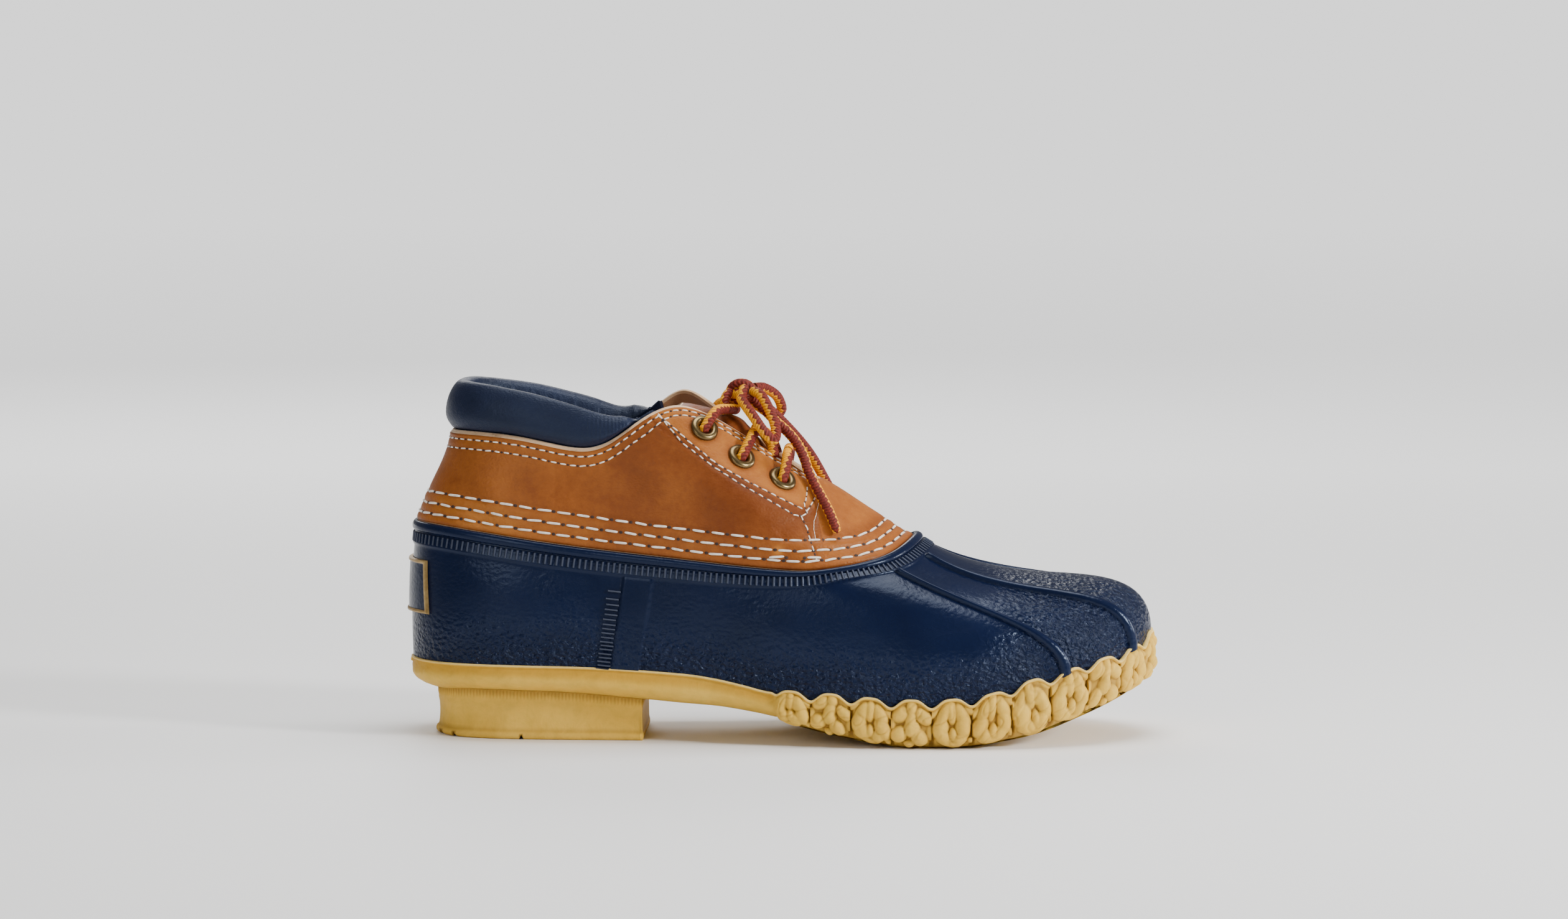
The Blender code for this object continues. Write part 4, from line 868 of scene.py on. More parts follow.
# Laces. The routes are the same as in the part's source.
lace = {"diameter": 0.0041, "sides": 24, "spacing": 0.00028, "tooth": 0.0026, "relief": 0.00016}
laceRoutes = {
    "toeBar": (
        (0.0018, -0.0242, 0.1073), (0.0018, -0.0178, 0.1113), (0.0018, -0.0112, 0.1137),
        (0.0018, 0.0000, 0.1138), (0.0018, 0.0112, 0.1137), (0.0018, 0.0178, 0.1113),
        (0.0018, 0.0242, 0.1073)),
    "crossBar": (
        (-0.0140, -0.0268, 0.1168), (-0.0127, -0.0205, 0.1200), (-0.0110, -0.0140, 0.1227),
        (-0.0075, 0.0000, 0.1212), (-0.0050, 0.0060, 0.1182)),
    "topBar": (
        (-0.0293, -0.0256, 0.1271), (-0.0278, -0.0213, 0.1297), (-0.0256, -0.0170, 0.1316),
        (-0.0220, -0.0085, 0.1312), (-0.0195, 0.0000, 0.1304), (-0.0220, 0.0085, 0.1312),
        (-0.0256, 0.0170, 0.1316), (-0.0278, 0.0213, 0.1297), (-0.0293, 0.0256, 0.1271)),
    "outerLoop": (
        (-0.0122, -0.0052, 0.1384), (-0.0086, -0.0095, 0.1366), (-0.0050, -0.0135, 0.1305),
        (-0.0026, -0.0170, 0.1237), (-0.0034, -0.0200, 0.1200), (-0.0070, -0.0206, 0.1230),
        (-0.0116, -0.0174, 0.1290), (-0.0154, -0.0118, 0.1335), (-0.0170, -0.0082, 0.1356)),
    "innerLoop": (
        (-0.0122, 0.0054, 0.1386), (-0.0082, 0.0094, 0.1382), (-0.0034, 0.0136, 0.1346),
        (-0.0016, 0.0172, 0.1290), (-0.0050, 0.0198, 0.1266), (-0.0102, 0.0184, 0.1294),
        (-0.0146, 0.0136, 0.1336), (-0.0170, 0.0084, 0.1364)),
    "outerEnd": (
        (-0.0124, -0.0034, 0.1346), (-0.0075, -0.0046, 0.1304), (-0.0030, -0.0056, 0.1260),
        (0.0016, -0.0066, 0.1220), (0.0054, -0.0082, 0.1176), (0.0084, -0.0112, 0.1120),
        (0.0104, -0.0148, 0.1066), (0.0130, -0.0186, 0.1018), (0.0158, -0.0222, 0.0972),
        (0.0186, -0.0260, 0.0924), (0.0208, -0.0296, 0.0878), (0.0223, -0.0324, 0.0843)),
    "innerEnd": (
        (-0.0124, 0.0036, 0.1352), (-0.0076, 0.0046, 0.1314), (-0.0034, 0.0050, 0.1276),
        (0.0018, 0.0058, 0.1222), (0.0068, 0.0084, 0.1162), (0.0106, 0.0118, 0.1106),
        (0.0136, 0.0154, 0.1050), (0.0162, 0.0194, 0.0996), (0.0188, 0.0236, 0.0942),
        (0.0212, 0.0276, 0.0890)),
}
# the knot's strands: the turn round its middle, the two rising from the bars and the one across
knotStrands = (
    ((-0.0128, 0.0012, 0.1352), (-0.0126, -0.0004, 0.1378), (-0.0148, -0.0014, 0.1404),
     (-0.0182, -0.0012, 0.1408), (-0.0210, 0.0002, 0.1388), (-0.0212, 0.0014, 0.1356),
     (-0.0186, 0.0016, 0.1334), (-0.0150, 0.0008, 0.1334)),
    ((-0.0234, -0.0062, 0.1312), (-0.0236, -0.0048, 0.1340), (-0.0222, -0.0022, 0.1368),
     (-0.0190, 0.0018, 0.1376), (-0.0160, 0.0052, 0.1366), (-0.0142, 0.0070, 0.1352)),
    ((-0.0234, 0.0062, 0.1312), (-0.0234, 0.0046, 0.1338), (-0.0218, 0.0022, 0.1362),
     (-0.0188, -0.0020, 0.1368), (-0.0160, -0.0056, 0.1362), (-0.0140, -0.0070, 0.1344)),
    ((-0.0166, -0.0080, 0.1354), (-0.0160, -0.0052, 0.1382), (-0.0156, 0.0000, 0.1390),
     (-0.0158, 0.0052, 0.1384), (-0.0168, 0.0082, 0.1360)),
)


def smoothRoute(route, spacing):
    route = [np.asarray(p, float) for p in route]
    route = [2 * route[0] - route[1], *route, 2 * route[-1] - route[-2]]
    points = []
    for a, b, c, d in zip(route, route[1:], route[2:], route[3:]):
        steps = max(1, round(float(np.linalg.norm(c - b)) / spacing))
        points += [splinePoint(a, b, c, d, i / steps) for i in range(steps)]
    return np.array([*points, route[-2]])


def laceTube(name, route, facing, endFacing=None, tip=False):
    # a braided round cord, brick on the side that faces this way and gold behind it
    line = smoothRoute(route, lace["spacing"])
    n, sides = len(line), lace["sides"]
    run = lengthsAlong(line)
    way = unit(np.gradient(line, axis=0))
    share = (run / run[-1])[:, None]
    face = np.array(facing) * (1 - share) + np.array(endFacing or facing) * share
    face = unit(face - (face * way).sum(axis=1, keepdims=True) * way)
    across = np.cross(way, face)
    turn = np.linspace(-math.pi, math.pi, sides, endpoint=False)
    braid = run / lace["tooth"]
    plait = braid[:, None] * 2.0 + np.abs(turn)[None] / math.pi * 2.0
    strand = 1 - np.abs(2 * np.mod(plait, 1.0) - 1)
    radius = lace["diameter"] / 2 + lace["relief"] * (np.sqrt(np.clip(strand, 0, 1)) - 0.75)
    if tip:
        left = (run[-1] - run)[:, None]
        radius = radius * (0.80 + 0.20 * smoothStep(left / 0.0045)) * np.sqrt(np.clip(left / 0.0009, 0.10, 1))
    rings = line[:, None] + radius[..., None] * (np.cos(turn)[None, :, None] * face[:, None]
                                                 + np.sin(turn)[None, :, None] * across[:, None])
    faces = gridFaces(n, sides)
    i, j = np.meshgrid(np.arange(n - 1), np.arange(sides), indexing="ij")
    corners = [(i, j), (i, j + 1), (i + 1, j + 1), (i + 1, j)]
    uv = np.stack([np.stack([braid[a], b / sides], axis=-1) for a, b in corners], axis=2).reshape(-1, 2)
    ends = [tuple(range(sides))[::-1], tuple(range((n - 1) * sides, n * sides))]
    capUv = np.concatenate([np.full((sides, 2), (0.0, 0.5)), np.full((sides, 2), (float(braid[-1]), 0.5))])
    piece = makePiece(name, rings, faces + ends, ("lace",), uv=np.concatenate([uv, capUv]))
    return piece, line[::4] if (n - 1) % 4 == 0 else np.concatenate([line[::4], line[-1:]]), float(run[-1])


def throughEyelet(name):
    seat, way = seatPlaces[name]
    return [tuple(seat - way * 0.0065), tuple(seat - way * 0.0030), tuple(seat + way * 0.0006)]


def barPiece(name, node, routes, facing):
    made = [laceTube(name + str(n), route, facing)[0] for n, route in enumerate(routes)]
    bar = joinLaces(name, made) if len(made) > 1 else made[0]
    return finishPiece(bar, "lace", node)


def joinLaces(name, made):
    # keeps the braid's coordinates
    work = bmesh.new()
    for piece in made:
        work.from_mesh(piece.data)
    mesh = bpy.data.meshes.new(name)
    work.to_mesh(mesh)
    work.free()
    mesh.materials.append(materials["lace"])
    for piece in made:
        dropPiece(piece)
    joined = addObject(name, mesh)
    mesh.shade_smooth()
    return joined


def mirrored(route):
    return tuple((x, -y, z) for x, y, z in route)


def makeLaces():
    barSide = (0.62, -0.72, -0.32)
    toeBar = throughEyelet("outer_3") + list(laceRoutes["toeBar"][1:-1]) + throughEyelet("inner_3")[::-1]
    topBar = throughEyelet("outer_1") + list(laceRoutes["topBar"][1:-1]) + throughEyelet("inner_1")[::-1]
    barPiece("laceToeBar", "lace_toe_bar", [toeBar], barSide)
    barPiece("laceTopBar", "lace_top_bar", [topBar], barSide)
    cross = laceRoutes["crossBar"]
    wide = max(abs(y) for _, y, _ in cross)
    under = [(x, -y, z - 0.35 * 0.0040 * (1 - abs(y) / wide)) for x, y, z in cross]
    tail = ((-0.0040, 0.0095, 0.1150), (-0.0032, 0.0130, 0.1118))
    first = throughEyelet("outer_2") + list(cross[1:]) + list(tail)
    second = throughEyelet("inner_2") + under[1:] + list(mirrored(tail))
    barPiece("laceCross", "lace_cross", [first, second], barSide)
    facings = ((0.2, -1.0, 0.5), (0.6, -0.6, 0.5), (0.6, -0.6, 0.5), (0.9, -0.4, 0.4))
    strands = [laceTube("strand" + str(n), route, facing)[0]
               for n, (route, facing) in enumerate(zip(knotStrands, facings))]
    knot = finishPiece(joinLaces("laceKnot", strands), "lace", "lace_knot")
    for name, node, facing, endFacing, farEnd in (
            ("outerLoop", "lace_loop_outer", (0.9, -0.6, 0.3), (0.7, -0.7, 0.6), "object"),
            ("innerLoop", "lace_loop_inner", (0.8, -0.6, 0.6), (0.6, -0.8, 0.5), "object"),
            ("outerEnd", "lace_end_outer", (0.05, -1.0, 0.05), (0.0, -1.0, 0.0), "bare"),
            ("innerEnd", "lace_end_inner", (0.4, -0.6, 0.8), (0.5, -0.5, 0.8), "bare")):
        title = "lace" + name[0].upper() + name[1:]
        piece, line, length = laceTube(title, laceRoutes[name], facing, endFacing, farEnd == "bare")
        finishPiece(piece, "lace", node)
        print(name, "length", round(length, 4))


makeLaces()
print("laces ready")


def makeEyelet(name, seat, way):
    hole, wide = eyelet["hole"] / 2, eyelet["diameter"] / 2 + 0.0004
    # radius and height of the turned ring, from the barrel's foot out over the dished rim
    profile = np.array((
        (hole - 0.0006, -0.0026), (hole - 0.0007, -0.0010), (hole - 0.0007, 0.0000),
        (hole - 0.00055, 0.00055), (hole - 0.00010, 0.00105), (hole + 0.0005, 0.00138),
        (hole + 0.0011, 0.00150), (hole + 0.0016, 0.00140), (wide - 0.00030, 0.00112),
        (wide - 0.00006, 0.00070), (wide + 0.0001, 0.00015), (wide - 0.0002, -0.0004),
        (hole + 0.0006, -0.0004), (hole + 0.0005, -0.0026)))
    sides = eyelet["sides"]
    turn = np.linspace(0, 2 * math.pi, sides, endpoint=False)
    along = unit(np.cross(way, np.array([0, 0, 1.0])))
    across = np.cross(way, along)
    ring = np.cos(turn)[:, None] * along + np.sin(turn)[:, None] * across
    points = seat + profile[:, :1, None] * ring[None] + profile[:, 1:, None] * way
    faces = gridFaces(len(profile), sides)
    piece = makePiece("eyelet" + name[0].upper() + name[1:].replace("_", ""), points, faces, ("brass",))
    return finishPiece(piece, "brass", "eyelet_" + name)


for seatName, (seat, way) in seatPlaces.items():
    makeEyelet(seatName, seat, way)
print("eyelets ready")


# The leather's skin: seams, pillows, step and creases over its plain surface
seams = {
    "lowerRows": (0.0039, 0.0082, 0.0128),  # up from the rubber
    "upperRows": (0.0032, 0.0069),  # down from the top edge, at the collar
    "throatRows": (0.0026, 0.0049),  # down from the top edge, at the throat
    "throatBegins": (float(knots[4]) + 0.35 * float(knots[5] - knots[4]), float(knots[5])),
    "orangeSpot": (-0.0011, 0.0779),  # x, z from the side
    "bevel": 0.0015, "trough": 0.00030, "troughWidth": 0.0010, "pillow": 0.00022, "step": 0.0013,
}
# side-view lines of the eyestay, (x, z) in metres
eyestayRows = (
    ((-0.0505, 0.1291), (-0.0364, 0.1196), (-0.0251, 0.1109), (-0.0141, 0.1047), (-0.0029, 0.0989),
     (0.0074, 0.0938)),
    ((-0.0539, 0.1292), (-0.0389, 0.1190), (-0.0269, 0.1103), (-0.0156, 0.1031), (-0.0029, 0.0960),
     (0.0060, 0.0909), (0.0091, 0.0909), (0.0110, 0.0935), (0.0131, 0.0969)),
)
scratchLine = ((0.0149, 0.0950), (0.0140, 0.0915), (0.0130, 0.0884), (0.0131, 0.0856), (0.0137, 0.0829))
cornerRow = ((0.0100, 0.1005), (0.0098, 0.0972), (0.0090, 0.0946), (0.0101, 0.0924))
frontRow = ((0.0082, 0.0902), (0.0099, 0.0874), (0.0114, 0.0827), (0.0128, 0.0786), (0.0142, 0.0745))
# x, z of both ends, depth, width: creases over the quarters and the vamp, a ridge where depth is negative
creases = (
    (0.0072, 0.0900, -0.0020, 0.0868, 0.00030, 0.0009), (0.0078, 0.0888, -0.0005, 0.0849, 0.00034, 0.0009),
    (0.0085, 0.0876, 0.0010, 0.0834, 0.00030, 0.0008), (0.0092, 0.0862, 0.0028, 0.0822, 0.00026, 0.0008),
    (0.0060, 0.0893, -0.0075, 0.0872, 0.00022, 0.0008), (0.0100, 0.0850, 0.0050, 0.0815, 0.00022, 0.0007),
    (-0.0900, 0.1010, -0.0350, 0.0930, 0.00045, 0.0075), (-0.1150, 0.0960, -0.0750, 0.0900, -0.00035, 0.0060),
    (-0.0500, 0.1080, -0.0120, 0.0960, -0.00040, 0.0065), (-0.0300, 0.0920, 0.0000, 0.0860, 0.00040, 0.0050),
    (0.0200, 0.1010, 0.0320, 0.0900, 0.00030, 0.0040), (0.0260, 0.1020, 0.0400, 0.0880, -0.00025, 0.0045),
    (-0.1320, 0.1050, -0.1180, 0.0900, 0.00035, 0.0050), (0.0148, 0.0958, 0.0132, 0.0860, 0.00035, 0.0006),
    (0.0132, 0.0860, 0.0140, 0.0812, 0.00030, 0.0006),
)


def between(around, low, high):
    return (around > low) & (around < high)


def topRowDepths(around):
    # how far down from the top edge each of its two rows runs
    side = np.where(around > toePlace, 1 - around, around)
    begin, end = seams["throatBegins"]
    share = smoothStep((side - begin) / (end - begin))
    return [a + (b - a) * share for a, b in zip(seams["upperRows"], seams["throatRows"])]


def skinHeight(around, v, fromRim, fromTop):
    spot = leather(around, v)
    side = spot[..., [0, 2]]
    front = between(around, *stepPlaces)
    height = np.where(front, -last["vampDrop"], 0.0)
    trough, width = seams["trough"], seams["troughWidth"]
    for row in seams["lowerRows"]:
        height = height - trough * bump(fromRim - row, width)
    highest = seams["lowerRows"][2]
    waves = np.clip(np.sin(fromRim / highest * 3 * math.pi), 0, 1)
    height = height + seams["pillow"] * waves * (fromRim < highest)
    for row in topRowDepths(around):
        height = height - 0.8 * trough * bump(fromTop - row, 0.8 * width) * ~front
    quarter = ~front & (side[..., 0] > -0.06)
    for line in (*eyestayRows, cornerRow, frontRow):
        height = height - 0.7 * trough * bump(lineDistance(side, line), 0.8 * width) * quarter
    # the eyestay lies over the quarter
    gapBelow = lineDistance(side, eyestayRows[1][:6])
    height = height + 0.0003 * bump(gapBelow - 0.0012, 0.0016) * quarter
    far = 1.0 - 0.35 * (spot[..., 1] > 0)
    for x0, z0, x1, z1, depth, wide in creases:
        height = height - depth * far * bump(lineDistance(side, ((x0, z0), (x1, z1))), wide)
    height = height + 0.00022 * softNoise(spot, 0.022, 5)
    # the rim and the top edge are rounded over
    height = height - 0.0005 * bump(fromRim, 0.0006)
    bevel = np.clip(1 - fromTop / seams["bevel"], 0, 1)
    return height - np.where(front, 0.0004, 0.0011) * bevel


def skinPoint(around, v, fromRim, fromTop):
    normal = normalOf(leather, around, v)
    return leather(around, v) + normal * skinHeight(around, v, fromRim, fromTop)[..., None], normal


def skinAt(around, v):
    steps, runs = lengthTables(leather, around)
    fromRim = np.array([np.interp(share, steps, run) for share, run in zip(v, runs)])
    return skinPoint(around, v, fromRim, runs[:, -1] - fromRim)


def skinLine(around, lengths, fromTopEdge):
    # a line over the leather at given lengths from its rim or its top edge
    lengths = np.broadcast_to(np.asarray(lengths, float), around.shape)
    return skinAt(around, shareAtLength(leather, around, lengths[:, None], fromTopEdge)[:, 0])


def sidePlace(x, z, inner=False):
    # the place (around, v) on the leather that shows at x, z from the side
    low, high = (0.25, float(toePlace)) if not inner else (float(toePlace), 0.75)
    places, shares = np.meshgrid(np.linspace(low, high, 150), np.linspace(0.0, 1.0, 90), indexing="ij")
    for _ in range(4):
        i = nearestPlace(leather, places, shares, x, z)
        a, v = places[i], shares[i]
        nearA, nearV = 1.5 * (places[1, 0] - places[0, 0]), 1.5 * (shares[0, 1] - shares[0, 0])
        places, shares = np.meshgrid(np.linspace(a - nearA, a + nearA, 13),
                                     np.clip(np.linspace(v - nearV, v + nearV, 13), 0, 1), indexing="ij")
    return float(a), float(v)


def sideLine(line, inner=False, spacing=0.0012):
    # a side-view line laid on the leather
    line = np.asarray(line, float)
    run = lengthsAlong(line)
    ends = np.array([sidePlace(x, z, inner) for x, z in line])
    count = max(2, int(run[-1] / spacing))
    at = np.linspace(0, run[-1], count)
    around, v = np.interp(at, run, ends[:, 0]), np.interp(at, run, ends[:, 1])
    return skinAt(around, v)


# Leather upper
upper = {"columns": 760, "rimRows": 24, "midRows": 30, "topRows": 18, "rimBand": 0.0150, "topBand": 0.0085}


def leatherPlaces():
    places = list(np.linspace(0, 1, upper["columns"], endpoint=False))
    half = last["gap"] / 2 / perimeter
    for step in stepPlaces:
        places = [p for p in places if abs(p - step) > 0.0006] + [step - half, step + half]
    return np.array(sorted(places))


def leatherShares(around):
    steps, runs = lengthTables(leather, around)
    total = runs[:, -1:]
    low = upper["rimBand"] * np.linspace(0, 1, upper["rimRows"]) ** 1.3
    high = total - upper["topBand"] * np.linspace(1, 0, upper["topRows"]) ** 1.6
    middle = np.linspace(0, 1, upper["midRows"] + 2)[1:-1]
    fill = low[-1] + (total - upper["topBand"] - low[-1]) * middle
    lengths = np.concatenate([np.broadcast_to(low, (len(around), len(low))), fill, high], axis=1)
    v = np.array([np.interp(row, run, steps) for row, run in zip(lengths, runs)])
    return v, lengths, total - lengths


def leatherTone(points, fromRim, fromTop, front):
    # 0 is the dark red brown of the quarter's shade, 1 the light orange tan of the eyestay
    x, z = points[..., 0], points[..., 2]
    tone = np.full(x.shape, 0.40)
    quarter = ~front
    line = np.array(eyestayRows[0])
    edge = np.interp(x, line[:, 0], line[:, 1])
    inStay = smoothStep((z - edge) / 0.003 + 0.5) * (x > -0.052) * quarter
    tone = tone + 0.26 * inStay
    tone = tone + 0.10 * bump(fromTop - 0.003, 0.004) * (x < -0.05)
    tone = tone + 0.17 * (fromRim < 0.0135) * (1 - 0.5 * bump(fromRim - 0.0135, 0.003))
    shaded = quarter * (1 - inStay)
    tone = tone - 0.08 * shaded * smoothStep((x + 0.090) / 0.04) + 0.04 * (x < -0.09)
    tone = tone - 0.14 * shaded * smoothStep((x + 0.05) / 0.05) * smoothStep((z - 0.080) / 0.010)
    tone = tone + 0.16 * front * smoothStep((fromRim - 0.014) / 0.006)
    for row in seams["lowerRows"]:
        tone = tone - 0.07 * bump(fromRim - row, 0.0014)
    tone = tone - 0.22 * bump(np.minimum(fromTop, fromRim), 0.0012)
    side = points[..., [0, 2]]
    for line in (*eyestayRows, frontRow):
        tone = tone - 0.08 * bump(lineDistance(side, line), 0.0013) * quarter
    fromSpot = np.linalg.norm(side - np.array(seams["orangeSpot"]), axis=-1)
    tone = tone + 0.45 * bump(fromSpot, 0.0021) * (points[..., 1] < 0)
    for seat, _ in seatPlaces.values():
        tone = tone - 0.18 * bump(np.linalg.norm(points - seat, axis=-1) - 0.0058, 0.0016)
    return np.clip(tone + 0.05 * softNoise(points, 0.018, 11), 0.02, 0.98)


def makeUpper():
    around = leatherPlaces()
    n = len(around)
    v, fromRim, fromTop = leatherShares(around)
    columns = np.repeat(around[:, None], v.shape[1], axis=1)
    outer, _ = skinPoint(columns, v, fromRim, fromTop)
    front = between(columns, *stepPlaces)
    tone = leatherTone(outer, fromRim, fromTop, front)
    inShares = (1.0, 0.972, 0.9, 0.75, 0.55, 0.35, 0.18, 0.0)
    depth = np.full(n, -last["leatherWall"])
    inner = np.stack([offset(leather, around, np.full(n, s), depth) for s in inShares], axis=1)
    lip = (outer[:, -1] + inner[:, 0]) / 2 + np.array([0, 0, 0.00025])
    rows = np.concatenate([outer, lip[:, None], inner], axis=1).transpose(1, 0, 2)
    count = len(rows)
    faces = gridFaces(count, n) + [
        ((count - 1) * n + i, (count - 1) * n + (i + 1) % n, (i + 1) % n, i) for i in range(n)]
    top = v.shape[1]
    paint = np.zeros((count, n), np.int32)
    rawTop = fromTop[:, :-1] < np.where(front[:, :-1], 0.0006, 0.00125)
    paint[:top - 1] = np.where(rawTop | (fromRim[:, 1:] < 0.0005), 1, 0).T
    paint[top - 1:top + 2] = 1  # the cut edge, frayed a little way down the inside
    paint[top + 2:] = 2
    paint[-1] = 1
    for step in stepPlaces:  # the quarters' cut front edge
        before = int(np.searchsorted(around, step)) - 1
        paint[:top - 1, before] = 1
    tones = np.concatenate([tone, np.full((n, 1 + len(inShares)), 0.5)], axis=1).T
    # faces inside the eyelets' barrels are left out
    points = rows.reshape(-1, 3)
    quads = np.array(faces)
    centres = points[quads].mean(axis=1)
    keep = np.ones(len(quads), bool)
    for seat, way in seatPlaces.values():
        gap = centres - seat
        high = gap @ way
        away = np.linalg.norm(gap - high[:, None] * way, axis=1)
        keep &= ~((away < eyelet["hole"] / 2 + 0.0007) & (np.abs(high) < 0.006))
    piece = makePiece("leatherUpper", points, quads[keep].tolist(), ("tanLeather", "rawEdge", "fleshSide"),
                      paint.ravel()[keep], {"tone": tones})
    return finishPiece(piece, "tan_leather", "leather_upper")


makeUpper()
print("leather upper ready")


# Stitches and needle holes
stitch = {
    "low": {"pitch": 0.0078, "length": 0.0062, "radius": 0.00043, "hole": 0.00068},
    "high": {"pitch": 0.0039, "length": 0.0027, "radius": 0.00028, "hole": 0.00046},
    "throat": {"pitch": 0.0031, "length": 0.0023, "radius": 0.00025, "hole": 0.00038},
    "scratch": {"pitch": 0.0016, "length": 0.0022, "radius": 0.00012, "hole": 0.00004},
}


def threadItem(name, length, radius, sink):
    # one stitch along X, its ends dipping into their holes
    across, along = 8, 9
    u = np.linspace(-1, 1, along)
    thick = radius * np.clip(1.08 - np.abs(u) ** 5 * 0.75, 0.05, 2)
    middle = np.stack([u * length / 2, 0 * u, 0.55 * radius - sink * np.abs(u) ** 4], axis=1)
    turn = np.linspace(0, 2 * math.pi, across, endpoint=False)
    ring = np.stack([0 * turn, np.cos(turn), np.sin(turn) * 0.9], axis=1)
    points = middle[:, None] + ring[None] * thick[:, None, None]
    faces = gridFaces(along, across) + [tuple(range(across))[::-1],
                                        tuple(range((along - 1) * across, along * across))]
    return makePiece(name, points, faces, ("stitchThread",))


def holeItem(name, radius):
    # a dark dimple of painted shade for the hole, low enough to show only where the leather dips
    work = bmesh.new()
    bmesh.ops.create_uvsphere(work, u_segments=8, v_segments=5, radius=radius)
    for vert in work.verts:
        vert.co.x *= 1.25
        vert.co.z *= 0.42
        vert.co.z += 0.05 * radius
    mesh = bpy.data.meshes.new(name)
    work.to_mesh(mesh)
    work.free()
    mesh.materials.append(materials["needleHole"])
    return addObject(name, mesh)


def sewRows(name, kind, rows, closed):
    size = stitch[kind]
    thread = threadItem(name + "Thread", size["length"], size["radius"], 1.6 * size["radius"])
    hole = holeItem(name + "Hole", size["hole"])
    made = []
    for n, (points, ways, holePoints, holeWays) in enumerate(rows):
        path = pathObject(name + "Path" + str(n), points, ways, closed)
        made.append(repeatAlong(name + "Stitches" + str(n), path, thread, "stitchThread", size["pitch"],
                                0.10, 0.10, n + 3))
        path = pathObject(name + "HolePath" + str(n), holePoints, holeWays, closed)
        made.append(repeatAlong(name + "Holes" + str(n), path, hole, "needleHole", size["pitch"],
                                0.15, 0.1, n + 9))
    dropPiece(thread)
    dropPiece(hole)
    return made


def openRow(points, ways, pitch):
    holePoints, holeWays = cutPath(points, ways, pitch / 2, pitch / 2)
    return points, ways, holePoints, holeWays


def makeStitching():
    made = []
    rows = []
    for n, row in enumerate(seams["lowerRows"]):
        start = 0.0031 * n
        around = np.linspace(0, 1, 900, endpoint=False) + start
        points, ways = skinLine(around, row, False)
        holePoints, holeWays = skinLine(around + stitch["low"]["pitch"] * 0.5 / 0.53, row, False)
        rows.append((points, ways, holePoints, holeWays))
    made += sewRows("rubberSeam", "low", rows, True)
    # the two rows under the collar and down the throat, one long run from eyelet to eyelet
    ends = 0.93 * (stepPlaces[0] - knots[6]) + knots[6]
    around = np.linspace(-ends, ends, 700)
    depths = topRowDepths(np.mod(around, 1.0))
    rows = []
    for depth in depths:
        points, ways = skinLine(np.mod(around, 1.0), depth, True)
        rows.append(openRow(points, ways, stitch["high"]["pitch"]))
    made += sewRows("topSeam", "high", rows, False)
    rows = [openRow(*sideLine(line, inner), stitch["high"]["pitch"])
            for inner in (False, True) for line in (*eyestayRows, frontRow)]
    made += sewRows("eyestay", "high", rows, False)
    rows = [openRow(*sideLine(cornerRow, inner), stitch["throat"]["pitch"]) for inner in (False, True)]
    made += sewRows("corner", "throat", rows, False)
    made += sewRows("scratch", "scratch", [openRow(*sideLine(scratchLine, spacing=0.0006), 0.0016)], False)
    # the lowest row's back-tacked end, sewn twice
    around = np.linspace(0.2 * knots[5] + 0.8 * knots[6], 0.25 * knots[6] + 0.75 * knots[7], 60)
    tacked = openRow(*skinLine(around, 0.0053, False), stitch["low"]["pitch"])
    made += sewRows("tacked", "low", [tacked], False)
    seam = joinPieces("stitching", made, ["stitchThread", "needleHole"])
    return finishPiece(seam, "tan_leather")


makeStitching()
print("stitching ready")


# Rubber shell
shell = {
    "columns": 900, "wallRows": 40, "beadProud": 0.0014, "beadHeight": 0.0036, "ribBandProud": 0.0007,
    "ribBandHeight": 0.0042, "ribPitch": 0.0023, "ridgeWidth": 0.0024, "ridgeProud": 0.0021,
    "flangeHeight": 0.015, "flangeWall": 0.0014, "stripProud": 0.0006,
}
ridgeKnots = [float(knots[i]) for i in (8, 9, 11, 12)]
# the side strip's back and front edges, (x, z) at the top and at the foot
stripEdges = {"back": (-0.0627, 0.0640, -0.0680, 0.0270), "front": (-0.0512, 0.0620, -0.0567, 0.0268)}


def shellPlaces():
    # even places, closer together across the ridges
    places = list(np.linspace(0, 1, shell["columns"], endpoint=False))
    reach = shell["ridgeWidth"] * 1.9 / perimeter
    for ridge in ridgeKnots:
        places = [p for p in places if abs(p - ridge) > reach] + list(ridge + np.linspace(-reach, reach, 23))
    return np.array(sorted(places))


def ridgeHeight(around):
    height = np.zeros(around.shape)
    for ridge in ridgeKnots:
        away = (around - ridge) * perimeter / shell["ridgeWidth"]
        height = np.maximum(height, shell["ridgeProud"] * np.sqrt(np.clip(1 - away**2, 0, 1)))
        height = height - 0.00030 * bump(np.abs(away) - 1.14, 0.22)
    return height


def stripLines(points):
    x, z = points[..., 0], points[..., 2]
    found = []
    for xTop, zTop, xFoot, zFoot in (stripEdges["back"], stripEdges["front"]):
        found.append(x - (xFoot + (xTop - xFoot) * (z - zFoot) / (zTop - zFoot)))
    return found


def stripShare(points):
    # 1 on the raised strip up the outer side
    back, front = stripLines(points)
    return smoothStep(back / 0.0005 + 0.5) * smoothStep(0.5 - front / 0.0005) * (points[..., 1] < 0)


